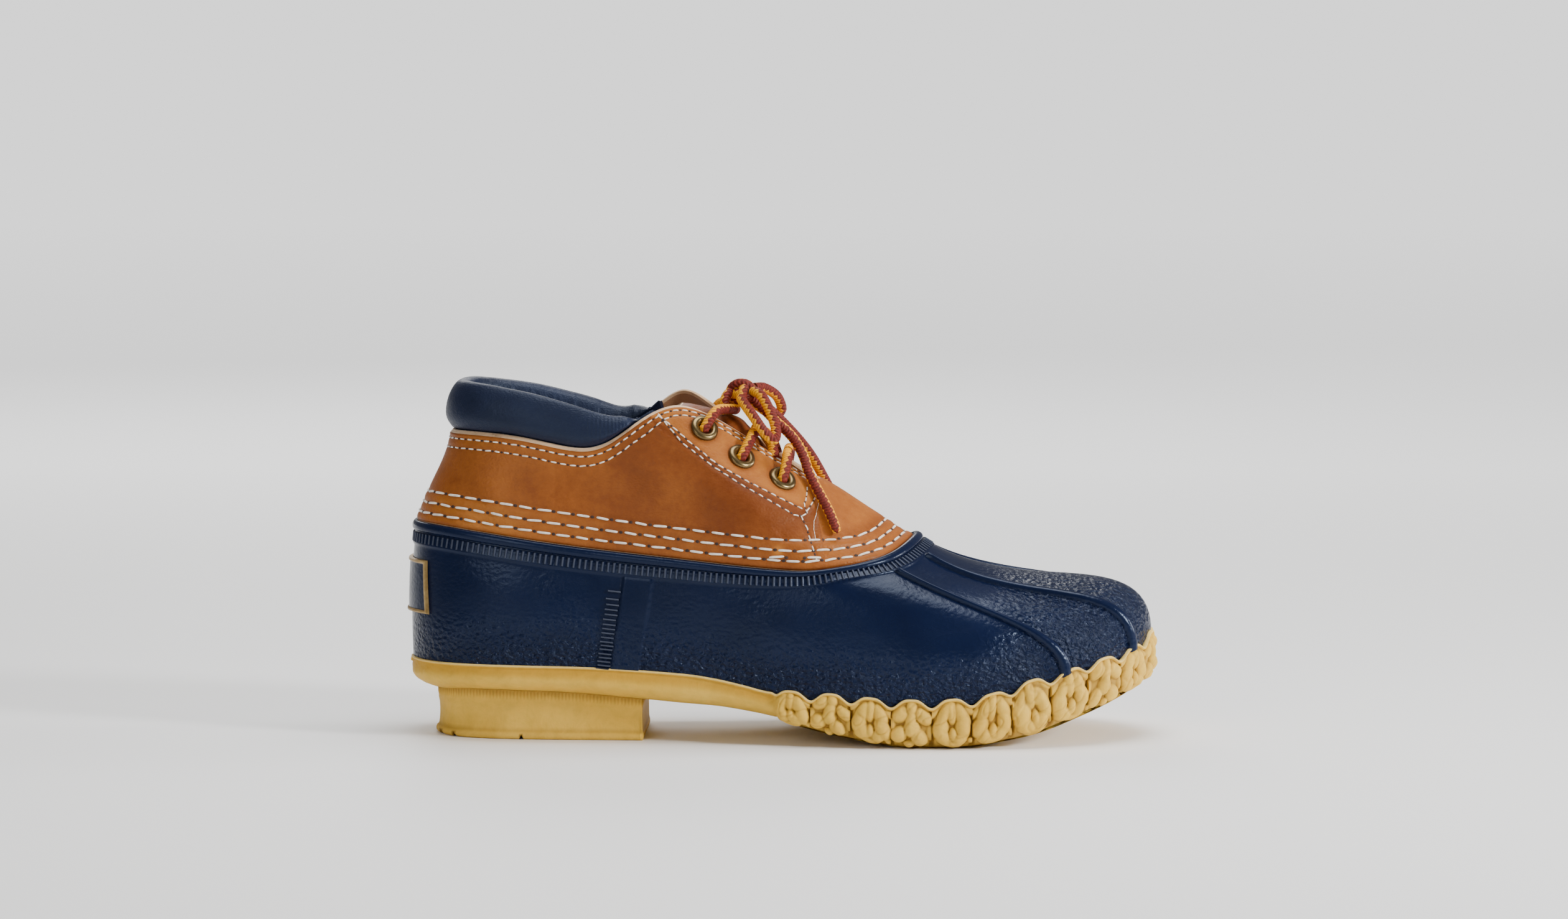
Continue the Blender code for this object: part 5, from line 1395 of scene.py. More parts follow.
def rubberHeight(around, fromRim, points):
    bead, band = shell["beadHeight"], shell["ribBandHeight"]
    u = np.clip(fromRim / (1.12 * bead), 0, 1)
    height = shell["beadProud"] * np.sqrt(np.clip(1 - (2 * u - 1) ** 2, 0, 1)) * (fromRim < 1.12 * bead)
    start, end = 1.25 * bead, 1.25 * bead + band
    inBand = smoothStep((fromRim - start) / 0.0003) * smoothStep((end + 0.0004 - fromRim) / 0.0004)
    height = height + 0.45 * shell["ribBandProud"] * inBand
    height = height + 0.0005 * bump(fromRim - end - 0.0004, 0.00045)  # the thin line under the ribs
    below = smoothStep((fromRim - end - 0.0004) / 0.0012)
    height = height + ridgeHeight(around) * below
    height = height + shell["stripProud"] * stripShare(points) * below
    height = height + 0.00035 * softNoise(points, 0.030, 21) * below
    return height


def rubberPeel(points, fromRim):
    # the orange-peel skin is strong low down and on the toe, faint high up and at the heel
    x, z = points[..., 0], points[..., 2]
    foot = heightAlong(bandTop, x)
    low = smoothStep(1 - (z - foot) / 0.024)
    toe = smoothStep((x - 0.070) / 0.050)
    back = smoothStep((x + 0.145) / 0.040)
    peel = 0.06 + 1.15 * low * (0.45 + 0.55 * back) + 0.70 * toe
    peel = peel * (0.25 + 0.75 * smoothStep((fromRim - 0.0095) / 0.004))
    return np.clip(peel + 0.12 * softNoise(points, 0.02, 31), 0.04, 0.95)


def makeShell():
    around = shellPlaces()
    n = len(around)
    steps, runs = lengthTables(wall, around)
    total = runs[:, -1:]
    bead = shell["beadHeight"]
    belowBead = np.array((0.0003, 0.0018, 0.0034, 0.0042, 0.0045, 0.0048, 0.0052, 0.0058))
    fine = np.concatenate([np.linspace(0, 1.12 * bead, 13), np.linspace(1.17, 1.25, 2) * bead,
                           1.25 * bead + belowBead])
    rest = fine[-1] + (total - fine[-1]) * np.linspace(0, 1, shell["wallRows"] + 1)[1:]
    fromRim = np.concatenate([np.broadcast_to(fine, (n, len(fine))), rest], axis=1)
    share = np.array([np.interp(run[-1] - row, run, steps) for row, run in zip(fromRim, runs)])
    columns = np.repeat(around[:, None], share.shape[1], axis=1)
    plain = wall(columns, share)
    height = rubberHeight(columns, fromRim, plain)
    face = plain + normalOf(wall, columns, share) * height[..., None]
    foot = face[:, -1].copy()
    foot[:, 2] -= 0.0024
    foot[:, :2] = insetOutline(around, np.full(n, 0.0012))
    peel = rubberPeel(face, fromRim)
    peel = peel * (1 - 0.9 * smoothStep(ridgeHeight(columns) / 0.0006)) * (1 - 0.6 * stripShare(plain))
    # the flange behind the leather, then the inner wall down to the floor
    behind = np.full(n, -last["leatherWall"] - 2 * last["gap"])
    below = np.full(n, -0.004)
    rise = shareAtLength(leather, around, shell["flangeHeight"])[:, 0]
    flange = [offset(leather, around, below, behind), offset(leather, around, rise, behind),
              offset(leather, around, rise, behind - shell["flangeWall"]),
              offset(leather, around, below, behind - shell["flangeWall"])]
    inner = [offset(wall, around, np.full(n, s), np.full(n, -last["rubberWall"]))
             for s in (0.80, 0.70, 0.60, 0.50, 0.40, 0.30, 0.22)]
    floor = heightAlong(cupFloor, rubberRing(around)[:, 0]) + last["gap"] + 0.003
    floorRow = flat(insetOutline(around, np.full(n, 0.0024 + 0.0003 + last["rubberWall"])), floor)
    rows = [foot] + [face[:, i] for i in range(face.shape[1] - 1, -1, -1)] + flange + inner + [floorRow]
    rows = np.array(rows)
    unseen = np.full((n, len(flange) + len(inner) + 1), 0.05)
    peels = np.concatenate([peel[:, -1:], peel[:, ::-1], unseen], axis=1).T
    faces = gridFaces(len(rows), n)
    # the floor is filled to its middle
    centre = len(rows) * n
    points = np.concatenate([rows.reshape(-1, 3), [rows[-1].mean(axis=0)]])
    if n % 2 == 0:
        faces += stripCap((len(rows) - 1) * n, n)
        points = points[:-1]
        peels = peels.ravel()
    else:
        faces += [((len(rows) - 1) * n + i, (len(rows) - 1) * n + (i + 1) % n, centre) for i in range(n)]
        peels = np.append(peels.ravel(), 0.05)
    piece = makePiece("rubberShell", points, faces, ("navyRubber",), attributes={"peel": peels})
    return finishPiece(piece, "navy_rubber", "rubber_shell")


def ribItem(name, length, width, high):
    # a rounded bar along Y, standing up along Z, narrower at its top
    rows = []
    for z, share in ((-0.0003, 1.0), (0.35 * high, 0.95), (0.8 * high, 0.62), (high, 0.22)):
        w, l = width / 2 * share, length / 2 * (1 - 0.10 * (1 - share))
        rows.append([(-w, -l, z), (w, -l, z), (w, l, z), (-w, l, z)])
    faces = gridFaces(4, 4) + [(12, 13, 14, 15)]
    # the top rows carry the crest's painted highlight
    wearAndHighlight = np.repeat((0, 0, 0.6, 1), 4)
    return makePiece(name, np.array(rows), faces, ("navyRubber",), attributes={"wearAndHighlight": wearAndHighlight}, smooth=False)


def makeRibs():
    around = np.linspace(0, 1, 1200, endpoint=False)
    length = 1.25 * shell["beadHeight"] + shell["ribBandHeight"] / 2
    share = shareAtLength(wall, around, length, True)[:, 0]
    points = offset(wall, around, share, np.full(len(around), 0.30 * shell["ribBandProud"]))
    ways = normalOf(wall, around, share)
    item = ribItem("rib", shell["ribBandHeight"] * 0.94, shell["ribPitch"] * 0.52, 0.0007)
    path = pathObject("ribPath", points, ways, True)
    ribs = repeatAlong("ribs", path, item, "navyRubber", shell["ribPitch"], 0.06, 0.02, 2)
    dropPiece(item)
    # the slanting strip of short bars, spaced more widely high up
    bars = []
    item = ribItem("bar", 0.0054, 0.00095, 0.00085)
    places, shares = np.meshgrid(np.linspace(0.10, 0.25, 160), np.linspace(0, 1, 160), indexing="ij")
    xTop, zTop, xFoot, zFoot = stripEdges["back"]
    for high in 0.0610 - 0.0340 * np.linspace(0, 1, 20) ** 0.82:
        behindStrip = xFoot + (xTop - xFoot) * (high - zFoot) / (zTop - zFoot) - 0.0030
        i = nearestPlace(wall, places, shares, behindStrip, high)
        here = np.array([places[i]]), np.array([shares[i]])
        point, way = wall(*here)[0], normalOf(wall, *here)[0]
        bar = addObject("bar", item.data.copy())
        along = unit(np.cross(np.array([0, 0, 1.0]), way))
        along = unit(along + np.array([0, 0, -0.10]) * np.sign(along[0]))
        up = np.cross(way, along)
        for vert in bar.data.vertices:
            x, y, z = vert.co
            vert.co = Vector(point + along * y - up * x + way * z)
        bars.append(bar)
    dropPiece(item)
    joined = joinPieces("ribBand", [ribs, *bars], ["navyRubber"])
    layer = joined.data.attributes.new("peel", "FLOAT", "POINT")
    layer.data.foreach_set("value", np.full(len(joined.data.vertices), 0.05, np.float32))
    return finishPiece(joined, "navy_rubber")


makeShell()
makeRibs()
print("rubber shell ready")


# Outsole
sole = {
    "bandColumns": 150, "lugColumns": 560, "rows": 46, "rounding": 0.0085, "lip": 0.0024, "lugsBegin": 0.487,
    "lugPitch": 0.0157, "proud": 0.0028, "wave": 0.0017, "treadDeep": 0.0020,
}
# across the lug in shares of its pitch, up it in shares of its height, half width and half height in
# metres, turn and strength
lugMotifs = (
    ((-0.22, 0.69, 0.0035, 0.0048, -0.45, 0.98), (-0.29, 0.47, 0.0036, 0.0054, 0.0, 1.00),
     (-0.20, 0.23, 0.0036, 0.0046, 0.50, 0.96), (0.23, 0.68, 0.0036, 0.0048, 0.45, 0.95),
     (0.30, 0.45, 0.0036, 0.0056, 0.0, 0.99), (0.19, 0.22, 0.0035, 0.0045, -0.50, 0.94),
     (0.00, 0.75, 0.0025, 0.0054, 0.05, 0.99), (0.01, 0.27, 0.0023, 0.0036, 0.0, 0.93),
     (0.00, 0.07, 0.0050, 0.0017, 0.0, 0.88), (-0.44, 0.84, 0.0030, 0.0022, 0.3, 0.62),
     (0.43, 0.86, 0.0028, 0.0020, -0.3, 0.60), (0.45, 0.16, 0.0022, 0.0022, 0.0, 0.66)),
    ((0.00, 0.58, 0.0026, 0.0062, 0.0, 0.99), (0.01, 0.42, 0.0035, 0.0038, 0.0, 1.00),
     (-0.02, 0.84, 0.0023, 0.0034, 0.05, 0.94), (-0.29, 0.75, 0.0040, 0.0035, -0.5, 0.93),
     (0.30, 0.76, 0.0043, 0.0037, 0.5, 0.96), (-0.27, 0.26, 0.0039, 0.0046, -0.28, 0.98),
     (0.28, 0.25, 0.0041, 0.0047, 0.28, 0.97), (0.01, 0.08, 0.0026, 0.0020, 0.0, 0.86),
     (-0.46, 0.52, 0.0020, 0.0040, 0.0, 0.56), (0.46, 0.50, 0.0020, 0.0038, 0.0, 0.54)),
)
# which motif each lug has, from the waist to the toe
lugOrder = (0, 1, 0, 1, 0, 0, 0, 0, 1, 0, 1, 0, 1, 0)


def lugSide(inner):
    # places from the heel's back to the toe along one side, and each place's count of lugs from the first
    toe = toePlace
    dense = np.linspace(0, toe, 1500) if not inner else np.linspace(1, toe, 1500)
    x = rubberRing(dense)[:, 0]
    begin = (sole["lugsBegin"] - 0.5) * last["length"]
    near = int(np.argmax(x > begin))
    start = float(dense[near])
    count = round(abs(toe - start) * perimeter / sole["lugPitch"])
    band = np.linspace(dense[0], start, sole["bandColumns"], endpoint=False)
    lugs = np.linspace(start, toe, sole["lugColumns"])
    phase = np.concatenate([np.full(len(band), -1.0), np.linspace(0, count, sole["lugColumns"])])
    return np.concatenate([band, lugs]), phase


def solePlaces():
    outer, outerPhase = lugSide(False)
    inner, innerPhase = lugSide(True)
    return (np.mod(np.concatenate([outer, inner[-2:0:-1]]), 1.0),
            np.concatenate([outerPhase, innerPhase[-2:0:-1] + 100]))


def lugStrength(phase, share, high):
    # how much of the lug's reach stands at each place, from its lobes
    number = np.floor(np.mod(phase, 100)).astype(int)
    across = np.mod(phase, 1.0) - 0.5
    total = np.zeros(share.shape)
    for n in np.unique(number[phase > -0.5]):
        for sideStart in (0, 100):
            chosen = (number == n) & (phase > sideStart - 0.5) & (phase < sideStart + 99)
            if not chosen.any():
                continue
            draw = np.random.default_rng(int(n) + sideStart + 7)
            p, s, h = across[chosen], share[chosen], high[chosen]
            lean = draw.normal(0, 0.11)
            acrossLug, upLug = p * sole["lugPitch"], (s - 0.5) * h
            x = acrossLug * math.cos(lean) + upLug * math.sin(lean)
            z = upLug * math.cos(lean) - acrossLug * math.sin(lean) + 0.5 * h
            scale = np.clip(h / 0.0185, 0.85, 1.25)
            sumOf = np.zeros(s.shape)
            for at, up, wide, tall, turn, strength in lugMotifs[lugOrder[n % len(lugOrder)]]:
                dx, dz = draw.normal(0, 0.00035), draw.normal(0, 0.0004)
                turn += draw.normal(0, 0.10)
                wide *= draw.uniform(0.86, 1.06)
                tall = tall * draw.uniform(0.9, 1.1) * scale
                a, b = x - at * sole["lugPitch"] - dx, z - up * h - dz
                u = (a * math.cos(turn) + b * math.sin(turn)) / wide
                v = (b * math.cos(turn) - a * math.sin(turn)) / tall
                dome = strength * np.clip(1 - u * u - v * v, 0, 1) ** 0.48
                sumOf += np.exp(34 * dome) - 1
            total[chosen] = np.log1p(sumOf) / 34
    return total


def makeOutsole():
    around, phase = solePlaces()
    n = len(around)
    x = rubberRing(around)[:, 0]
    lugged = phase > -0.5
    number = np.mod(phase, 100)
    mask = np.where(lugged, smoothStep(np.clip(number / 0.25, 0, 1)), 0.0)
    crest = -np.cos(2 * math.pi * number) - 0.22 * np.cos(4 * math.pi * number)
    top = heightAlong(bandTop, x) + mask * sole["wave"] * crest
    share = np.linspace(0, 0.955, sole["rows"])
    s, _ = np.meshgrid(share, x)
    bottom = heightAlong(soleBottom, x)
    high = np.repeat((top - bottom)[:, None], len(share), axis=1)
    phases = np.repeat(phase[:, None], len(share), axis=1)
    strength = lugStrength(phases, s, high)
    # the reach of the lobes' tops and of the pits between them, up the lug's side
    proud = sole["proud"] * np.interp(s, (0, 0.10, 0.30, 0.58, 0.84, 1), (-0.20, 0.75, 1.05, 1.0, 0.95, 0.35))
    deep = sole["proud"] * np.interp(s, (0, 0.15, 0.36, 0.58, 0.84, 1), (-1.0, -0.62, -0.48, -0.44, -0.24, 0))
    within = smoothStep((0.5 - np.abs(np.mod(phases, 1.0) - 0.5)) / 0.10) * lugged[:, None]
    lift = np.maximum(strength, 0.38 * within)
    lugReach = deep + (proud - deep) * lift
    inset = sole["rounding"] * np.clip(1 - s / 0.58, 0, 1) ** 2.6 - 0.0004 * np.sin(s * math.pi)
    reach = -(1 - mask[:, None]) * inset + mask[:, None] * lugReach
    places = np.repeat(around[:, None], len(share), axis=1)
    plan = insetOutline(places, -reach)
    grain = softNoise(np.stack([plan[..., 0], plan[..., 1], s * 0.02], axis=-1), 0.0042, 41)
    # thin creases over the lobes
    veins = bump(softNoise(np.stack([plan[..., 0], plan[..., 1], s * high], axis=-1), 0.0105, 43), 0.055)
    veins = veins * mask[:, None] * smoothStep((lift - 0.55) / 0.2)
    reach = reach + 0.00016 * grain - 0.00040 * veins
    plan = insetOutline(places, -reach)
    notch = mask[:, None] * (1 - smoothStep((lift - 0.15) / 0.7)) * 0.0022 * np.clip(1 - s / 0.22, 0, 1)
    height = bottom[:, None] + (top - bottom)[:, None] * s + notch
    height = np.maximum(height, 0.0)
    face = np.concatenate([plan, height[..., None]], axis=-1)
    # the thin flash along the top edge, then down behind the navy rubber
    edge = mask * 0.0006
    edgeRows = ((edge - 0.0001, -0.0011), (edge + 0.0007, -0.00065), (edge + 0.0008, -0.0001),
                (edge + 0.0002, 0.00025), (-0.0006, 0.0001), (-0.0011, -0.0030))
    flash = np.array([flat(insetOutline(around, -np.asarray(out)), top + up) for out, up in edgeRows])
    under = flat(insetOutline(around, 0.0045 + (1 - mask) * sole["rounding"]), np.maximum(bottom + 0.0004, 0))
    rows = np.concatenate([under[None], face.transpose(1, 0, 2), flash])
    faces = gridFaces(len(rows), n)
    # painted shade: darker wherever the face lies lower than what is around it
    padded = np.pad(lift, ((4, 4), (3, 3)), mode="edge")
    blurred = sum(padded[i:i + n, j:j + len(share)] for i in range(9) for j in range(7)) / 63
    cavity = np.clip((blurred - lift) * 5, 0, 1)
    paintedShade = np.clip(1.15 - lift * 1.65, 0, 1) ** 1.2 + 0.75 * cavity + 0.25 * veins
    paintedShade = np.clip(paintedShade, 0, 1) * mask[:, None]
    shade = (1 - mask[:, None]) * 0.22 * smoothStep((0.12 - s) / 0.12)
    # the underside row gets painted shade too
    paintedShade = np.concatenate([np.full((1, n), 0.6), (paintedShade + shade).T, np.zeros((len(flash), n))])
    warmBand = (1 - mask[:, None]) * (0.15 + 0.85 * smoothStep((s - 0.42) / 0.35)) + mask[:, None] * 0.22
    warmLip = np.repeat((1 - mask[None]) * 0.9 + 0.25 * mask[None], 2, axis=0)
    warm = np.concatenate([np.full((1, n), 0.2), warmBand.T, warmLip, np.zeros((4, n))])
    # the flash's top rows get the painted highlight
    pale = np.zeros(warm.shape)
    pale[-4:-1] = 0.6
    piece = makePiece("outsole", rows, faces, ("tanRubber",),
                      attributes={"paintedShade": paintedShade, "warm": warm, "pale": pale})
    finishPiece(piece, "tan_rubber", "outsole")
    makeTread(under, n)


def treadDepth(points):
    # two rows of crossing waves, like the links of a chain, and nothing over the waist
    x, y = points[..., 0], points[..., 1]
    pitch, sway = 0.0125, 0.0030
    wave = sway * np.sin(2 * math.pi * y / 0.0150)
    bar = np.zeros(x.shape)
    for sign in (1, -1):
        place = (x + sign * wave) / pitch
        away = np.abs(place - np.round(place)) * pitch
        bar = np.maximum(bar, smoothStep((0.0027 - away) / 0.0012))
    fore = smoothStep((x + 0.006) / 0.010)
    return sole["treadDeep"] * (1 - bar) * fore


def makeTread(under, n):
    # the sole's underside, in strips across it
    half = n // 2
    picks = np.unique(np.round(np.linspace(1, half - 1, 300)).astype(int))
    across = np.linspace(0, 1, 80)
    left, right = under[picks], under[(n - picks) % n]
    points = left[:, None] * (1 - across)[None, :, None] + right[:, None] * across[None, :, None]
    points[..., 2] = np.maximum(heightAlong(soleBottom, points[..., 0]), 0.0)
    inside = np.minimum(across, 1 - across) * np.linalg.norm(left - right, axis=1)[:, None]
    depth = treadDepth(points) * smoothStep(inside / 0.004)
    points[..., 2] += depth
    # painted shade down in the tread's grooves, deeper is darker
    paintedShade = np.clip(depth / sole["treadDeep"], 0, 1) * 0.6
    faces = gridFaces(*points.shape[:2], closed=False, turned=True)
    piece = makePiece("soleTread", points, faces, ("tanRubber",),
                      attributes={"paintedShade": paintedShade, "warm": 0 * paintedShade})
    if piece.data.polygons[len(piece.data.polygons) // 2].normal.z > 0:
        piece.data.flip_normals()
    return finishPiece(piece, "tan_rubber")


makeOutsole()
print("outsole ready")


# Heel block
heelBlock = {"breast": 0.315, "inset": 0.0100, "notches": (-0.1369, -0.1314, -0.1041), "ribPitch": 0.0014}


def makeHeel():
    breast = (heelBlock["breast"] - 0.5) * last["length"]
    dense = np.linspace(0, 1, 4001)
    plan = insetOutline(dense, np.full(4001, heelBlock["inset"]))
    outer = plan[(dense < toePlace) & (plan[:, 0] < breast)]
    inner = plan[(dense > toePlace) & (plan[:, 0] < breast)]
    line = np.concatenate([outer, [[breast, outer[-1, 1]]], [[breast, inner[0, 1]]], inner])
    run = lengthsAlong(line)
    count = 900
    at = np.linspace(0, run[-1], count, endpoint=False)
    line = np.stack([np.interp(at, run, line[:, k]) for k in (0, 1)], axis=1)
    ahead = np.roll(line, -2, axis=0) - np.roll(line, 2, axis=0)
    ways = unit(np.stack([ahead[:, 1], -ahead[:, 0]], axis=-1))
    for _ in range(3):
        ways = unit(ways + np.roll(ways, 1, axis=0) + np.roll(ways, -1, axis=0))
    top = heightAlong(soleBottom, line[:, 0]) - last["gap"]
    # share of the height and outward reach up the block's side
    heights = np.array((0.0, 0.0004, 0.0010, 0.0018, 0.0026, 0.0031, 0.0036, 0.0050, 0.0075, 0.0100, 0.0125))
    reaches = np.array(
        (-0.0004, 0.0004, 0.0009, 0.0010, 0.0007, 0.0001, -0.0002, -0.0004, -0.0006, -0.0006, -0.0004))
    highShares = np.array((0.75, 0.80, 0.85, 0.88, 0.91, 0.94, 0.97, 1.0))
    rib = 0.00022 * np.cos(2 * math.pi * at / heelBlock["ribPitch"])
    onBreast = line[:, 0] > breast - 0.0006
    rows, paintedShades, warms = [], [], []
    cut = np.zeros(count)
    for place in heelBlock["notches"]:
        cut = np.maximum(cut, np.clip(1 - np.abs(line[:, 0] - place) / 0.0009, 0, 1) * 0.0022)
    for h, r in zip(heights, reaches):
        z = np.maximum(h * np.minimum(1, top / 0.0175), np.minimum(cut, 0.0021))
        rows.append(flat(line + ways * (r * np.where(onBreast, 0.3, 1.0))[:, None], z))
        # painted shade in the hollow just above the foot's lip and down in the notches
        paintedShades.append(0.35 * bump(h - 0.0034, 0.0007) + 0.8 * (cut > 0.0002) * (h < 0.0019))
        warms.append(np.full(count, 0.05 if h < 0.003 else 0.15))
    for share in highShares:
        ribs = rib * smoothStep((share - 0.80) / 0.06) * (share < 0.995)
        rows.append(flat(line + ways * (ribs - 0.0002 * (1 - share))[:, None], top * share))
        # painted shade rising towards the top, under the sole, lighter on the ribs' crests
        paintedShades.append(np.full(count, 0.55 * smoothStep((share - 0.80) / 0.18)) - 600 * ribs)
        warms.append(np.full(count, 0.25))
    faces = gridFaces(len(rows), count)
    faces += stripCap(0, count, True) + stripCap((len(rows) - 1) * count, count)
    piece = makePiece("heel", np.array(rows), faces, ("tanRubber",),
                      attributes={"paintedShade": np.clip(paintedShades, 0, 1), "warm": np.array(warms)})
    return finishPiece(piece, "tan_rubber", "heel")


makeHeel()
print("heel ready")


# Collar, tongue, insole
collar = {
    "columns": 430, "around": 56, "hem": 0.0090, "hemWall": 0.0016, "roll": 0.0016, "cornerPlace": -0.0609,
    "cornerHeight": 0.1292, "slope": 0.243, "farCorner": 0.1301, "farSlope": 0.165,
    "nearShare": 0.66, "farShare": 0.58,  # where its ends lie between two sections
}


def closedSpline(points, count):
    # resamples closed loops of control points; points is (..., k, 3)
    k = points.shape[-2]
    t = np.linspace(0, k, count, endpoint=False)
    i = np.floor(t).astype(int)
    return splinePoint(*(points[..., (i + shift) % k, :] for shift in (-1, 0, 1, 2)), (t - i)[:, None])


def makeCollar():
    nearEnd = knots[4] + collar["nearShare"] * (knots[5] - knots[4])
    farEnd = knots[16] - collar["farShare"] * (knots[16] - knots[15])
    around = np.mod(np.linspace(farEnd - 1, nearEnd, collar["columns"]), 1.0)
    row = leatherRing(around)
    top = row[:, :3]
    height, inset, pad = row[:, 7:8], row[:, 8:9], row[:, 9:10]
    fromCorner = top[:, :1] - collar["cornerPlace"]
    crestLine = np.where(top[:, 1:2] > 0, collar["farCorner"] - collar["farSlope"] * fromCorner,
                         collar["cornerHeight"] - collar["slope"] * fromCorner)
    crest = np.minimum(top[:, 2:3] + height, crestLine)
    height = np.maximum(np.where(top[:, :1] > -0.080, crest - top[:, 2:3], height), -0.0008)
    hide = smoothStep((0.0048 - height) / 0.0040)
    way = np.concatenate([outward(leatherRing, around, 0), np.zeros((len(around), 1))], axis=1)
    up = np.array([[0, 0, 1.0]])
    hem = shareAtLength(leather, around, collar["hem"], True)[:, 0]
    wallThick = last["leatherWall"]
    behind = np.full(len(around), -wallThick - 2 * last["gap"])
    tucked = hide * (wallThick + 0.0008)
    roll = way * (collar["roll"] * np.clip(height / collar["hem"], 0, 1) * (1 - hide) - tucked)
    lines = [
        offset(leather, around, hem, behind),
        offset(leather, around, np.ones(len(around)), behind),
        top + up * (2 * last["gap"] + 0.02 * height) - way * wallThick * (0.4 + hide),
        top + up * 0.28 * height + roll,
        top + up * 0.62 * height + 0.6 * roll,
        top + up * 0.90 * height - way * (0.35 * inset + tucked),
        top + up * 1.00 * height - way * (inset + hide * wallThick),
        top + up * 0.90 * height - way * (inset + 0.5 * pad + 0.5 * hide * wallThick),
        top + up * 0.55 * height - way * (wallThick + 0.92 * pad),
        top + up * 0.10 * height - way * (wallThick + 0.95 * pad),
        top - up * 0.22 * height - way * (wallThick + 0.60 * pad),
        offset(leather, around, hem, behind - collar["hemWall"]),
    ]
    loops = np.stack(lines, axis=1)
    loops[..., 2] = np.minimum(loops[..., 2], (top[:, 2] + height[:, 0])[:, None])
    rings = closedSpline(loops, collar["around"])
    # soft folds down the inside, and fine ones fanning at the ends
    places = np.arange(collar["around"]) / collar["around"] * 12
    inside = bump(places - 8.3, 1.3)[None]
    outside = bump(places - 4.0, 1.6)[None]
    run = lengthsAlong(top)[:, None]
    draw = np.random.default_rng(17)
    folds = sum(np.sin(run / size * 2 * math.pi + draw.uniform(0, 6.28)) * share
                for size, share in ((0.0031, 0.4), (0.0046, 0.6), (0.0073, 0.7), (0.0021, 0.25)))
    fold = 0.00016 * folds * inside * np.minimum(1, height / 0.012)
    near = np.minimum(run, run[-1] - run)
    fan = 0.00010 * np.sin(run / 0.0017 * 2 * math.pi) * bump(near - 0.024, 0.010) * outside
    soft = 0.00035 * softNoise(rings, 0.024, 61)
    push = (fold + fan + soft)[..., None] * np.clip(height / 0.007, 0, 1)[..., None]
    middle = rings.mean(axis=1, keepdims=True)
    rings = rings + unit(rings - middle) * push
    n, size = rings.shape[:2]
    faces = gridFaces(n, size)
    faces += [tuple(range(size)), tuple(range((n - 1) * size, n * size))[::-1]]
    piece = makePiece("collar", rings, faces, ("navyLeather",))
    turnOut(piece)
    finishPiece(piece, "navy_leather", "collar")


def turnOut(piece):
    work = bmesh.new()
    work.from_mesh(piece.data)
    bmesh.ops.recalc_face_normals(work, faces=work.faces)
    work.to_mesh(piece.data)
    work.free()


makeCollar()

# x, height at its middle, half width, droop and setback at its sides, in shares of the shoe's sizes
tongueSections = (
    (0.505, 0.762, 0.195, 0.055, 0.015), (0.472, 0.834, 0.210, 0.075, 0.022),
    (0.454, 0.880, 0.216, 0.082, 0.026), (0.441, 0.906, 0.218, 0.085, 0.028),
    (0.410, 0.928, 0.218, 0.080, 0.033), (0.393, 0.939, 0.212, 0.070, 0.037),
    (0.378, 0.946, 0.202, 0.062, 0.040), (0.363, 0.948, 0.192, 0.058, 0.040),
)


def makeTongue():
    across = np.linspace(-1, 1, 61)
    reach = (float(knots[11]) - toePlace) * 1.15
    under = -(last["leatherWall"] + last["gap"])
    rows = [offset(leather, toePlace + across * reach, np.full(61, v), np.full(61, under))
            for v in (0.42, 0.72, 0.93)]
    bend = np.abs(across) ** 2.2
    for x, z, half, droop, setback in tongueSections:
        rows.append(np.stack([(x - 0.5 - setback * bend) * last["length"], half * across * last["ballWidth"],
                              (z - droop * bend) * last["ankleHeight"]], axis=-1))
    control = np.array(rows)
    control = np.concatenate([[2 * control[0] - control[1]], control, [2 * control[-1] - control[-2]]])
    face = [splinePoint(*control[k:k + 4], t) for k in range(len(control) - 3)
            for t in np.linspace(0, 1, 14, endpoint=False)]
    face = np.array([*face, control[-2]])
    down = np.gradient(face, axis=0)
    side = np.gradient(face, axis=1)
    normal = unit(np.cross(down, side))
    if normal[len(face) // 2, 30, 2] < 0:
        normal = -normal
    wide, count = face.shape[1], face.shape[0]
    face = face + normal * (0.0003 * softNoise(face, 0.012, 71))[..., None]
    thick = 0.0020
    back = face - normal * thick
    points = np.concatenate([face.reshape(-1, 3), back.reshape(-1, 3)])
    behind = wide * count
    faces, paint = [], []
    for n in range(count - 1):
        for i in range(wide - 1):
            a = n * wide + i
            faces += [(a, a + wide, a + wide + 1, a + 1),
                      (behind + a, behind + a + 1, behind + a + wide + 1, behind + a + wide)]
            paint += [1 if n > count - 4 else 0, 2]
    border = list(range(wide)) + [j * wide + wide - 1 for j in range(1, count)]
    border += [(count - 1) * wide + i for i in range(wide - 2, -1, -1)]
    border += [j * wide for j in range(count - 2, 0, -1)]
    for a, b in zip(border, border[1:] + border[:1]):
        faces.append((a, b, behind + b, behind + a))
        paint.append(1)
    # the low tone is painted shade, for the tongue lies in shadow between the quarters
    tone = 0.22 + 0.08 * softNoise(points, 0.02, 72)
    piece = makePiece("tongue", points, faces, ("tanLeather", "rawEdge", "fleshSide"), paint, {"tone": tone})
    turnOut(piece)
    return finishPiece(piece, "tongue_leather", "tongue")


makeTongue()


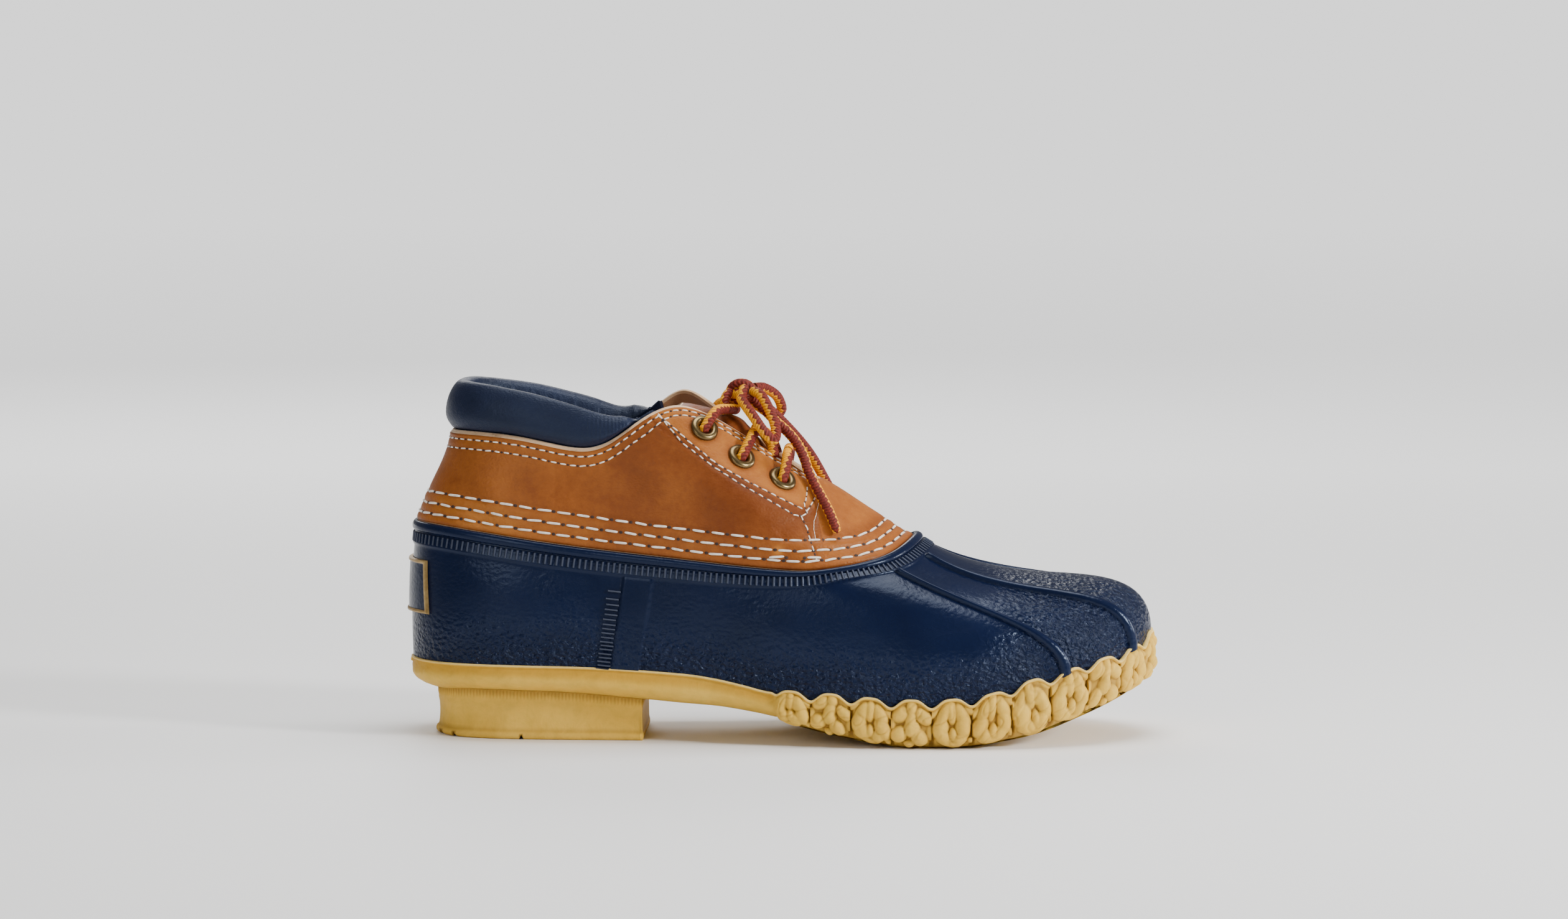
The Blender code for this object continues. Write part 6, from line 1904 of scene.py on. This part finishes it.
def makeInsole():
    around = np.linspace(0, 1, 300, endpoint=False)
    x = rubberRing(around)[:, 0]
    floor = heightAlong(cupFloor, x) + 0.0030 + 2 * last["gap"]
    reaches = (0.0070, 0.0070, 0.0073, 0.0080, 0.0100, 0.0150, 0.0220)
    rises = (0.0001, 0.0029, 0.0034, 0.0036, 0.0035, 0.0031, 0.0028)
    rows = []
    for reach, rise in zip(reaches, rises):
        plan = insetOutline(around, np.full(300, reach))
        rows.append(flat(plan, floor + rise))
    faces = gridFaces(len(rows), 300) + stripCap((len(rows) - 1) * 300, 300) + stripCap(0, 300, True)
    piece = makePiece("insole", np.array(rows), faces, ("felt",))
    return finishPiece(piece, "insole_felt", "insole")


makeInsole()
print("collar, tongue and insole ready")


# Heel label: a plain plate in a raised frame
label = {"top": 0.0150, "width": 0.050, "height": 0.0215, "frame": 0.0014, "plate": 0.0006, "rise": 0.0012}


def makeLabel():
    half = label["width"] / 2 / perimeter
    wide, high = 181, 73
    across = np.linspace(-half, half, wide)
    down = label["top"] + np.linspace(0, label["height"], high)
    shares = shareAtLength(wall, np.mod(across, 1.0), down, True)
    fromEdge = np.minimum(np.minimum((across + half) * perimeter, (half - across) * perimeter)[:, None],
                          np.minimum(down - down[0], down[-1] - down)[None])
    raised = smoothStep((label["frame"] - fromEdge) / 0.0003 + 0.5)
    rounded = np.sqrt(np.clip(1 - (fromEdge / label["frame"] * 2 - 1) ** 2, 0, 1)) * raised
    shape = 0.55 * raised + 0.45 * rounded
    height = 2 * last["gap"] + label["plate"] + (label["rise"] - label["plate"]) * shape
    height = height * smoothStep(fromEdge / 0.00025 + 0.25)
    places = np.repeat(np.mod(across, 1.0)[:, None], high, axis=1)
    face = wall(places, shares) + normalOf(wall, places, shares) * height[..., None]
    faces = gridFaces(wide, high, closed=False)
    middle = (fromEdge[:-1, :-1] + fromEdge[1:, 1:]) / 2
    paint = (middle > label["frame"]).astype(np.int32).ravel()
    piece = makePiece("heelLabel", face, faces, ("goldPaint", "navyRubber"), paint,
                      {"peel": np.full(wide * high, 0.08)})
    if piece.data.polygons[len(piece.data.polygons) // 2].normal.x > 0:
        piece.data.flip_normals()
    return finishPiece(piece, "label", "heel_label")


makeLabel()
print("label ready")
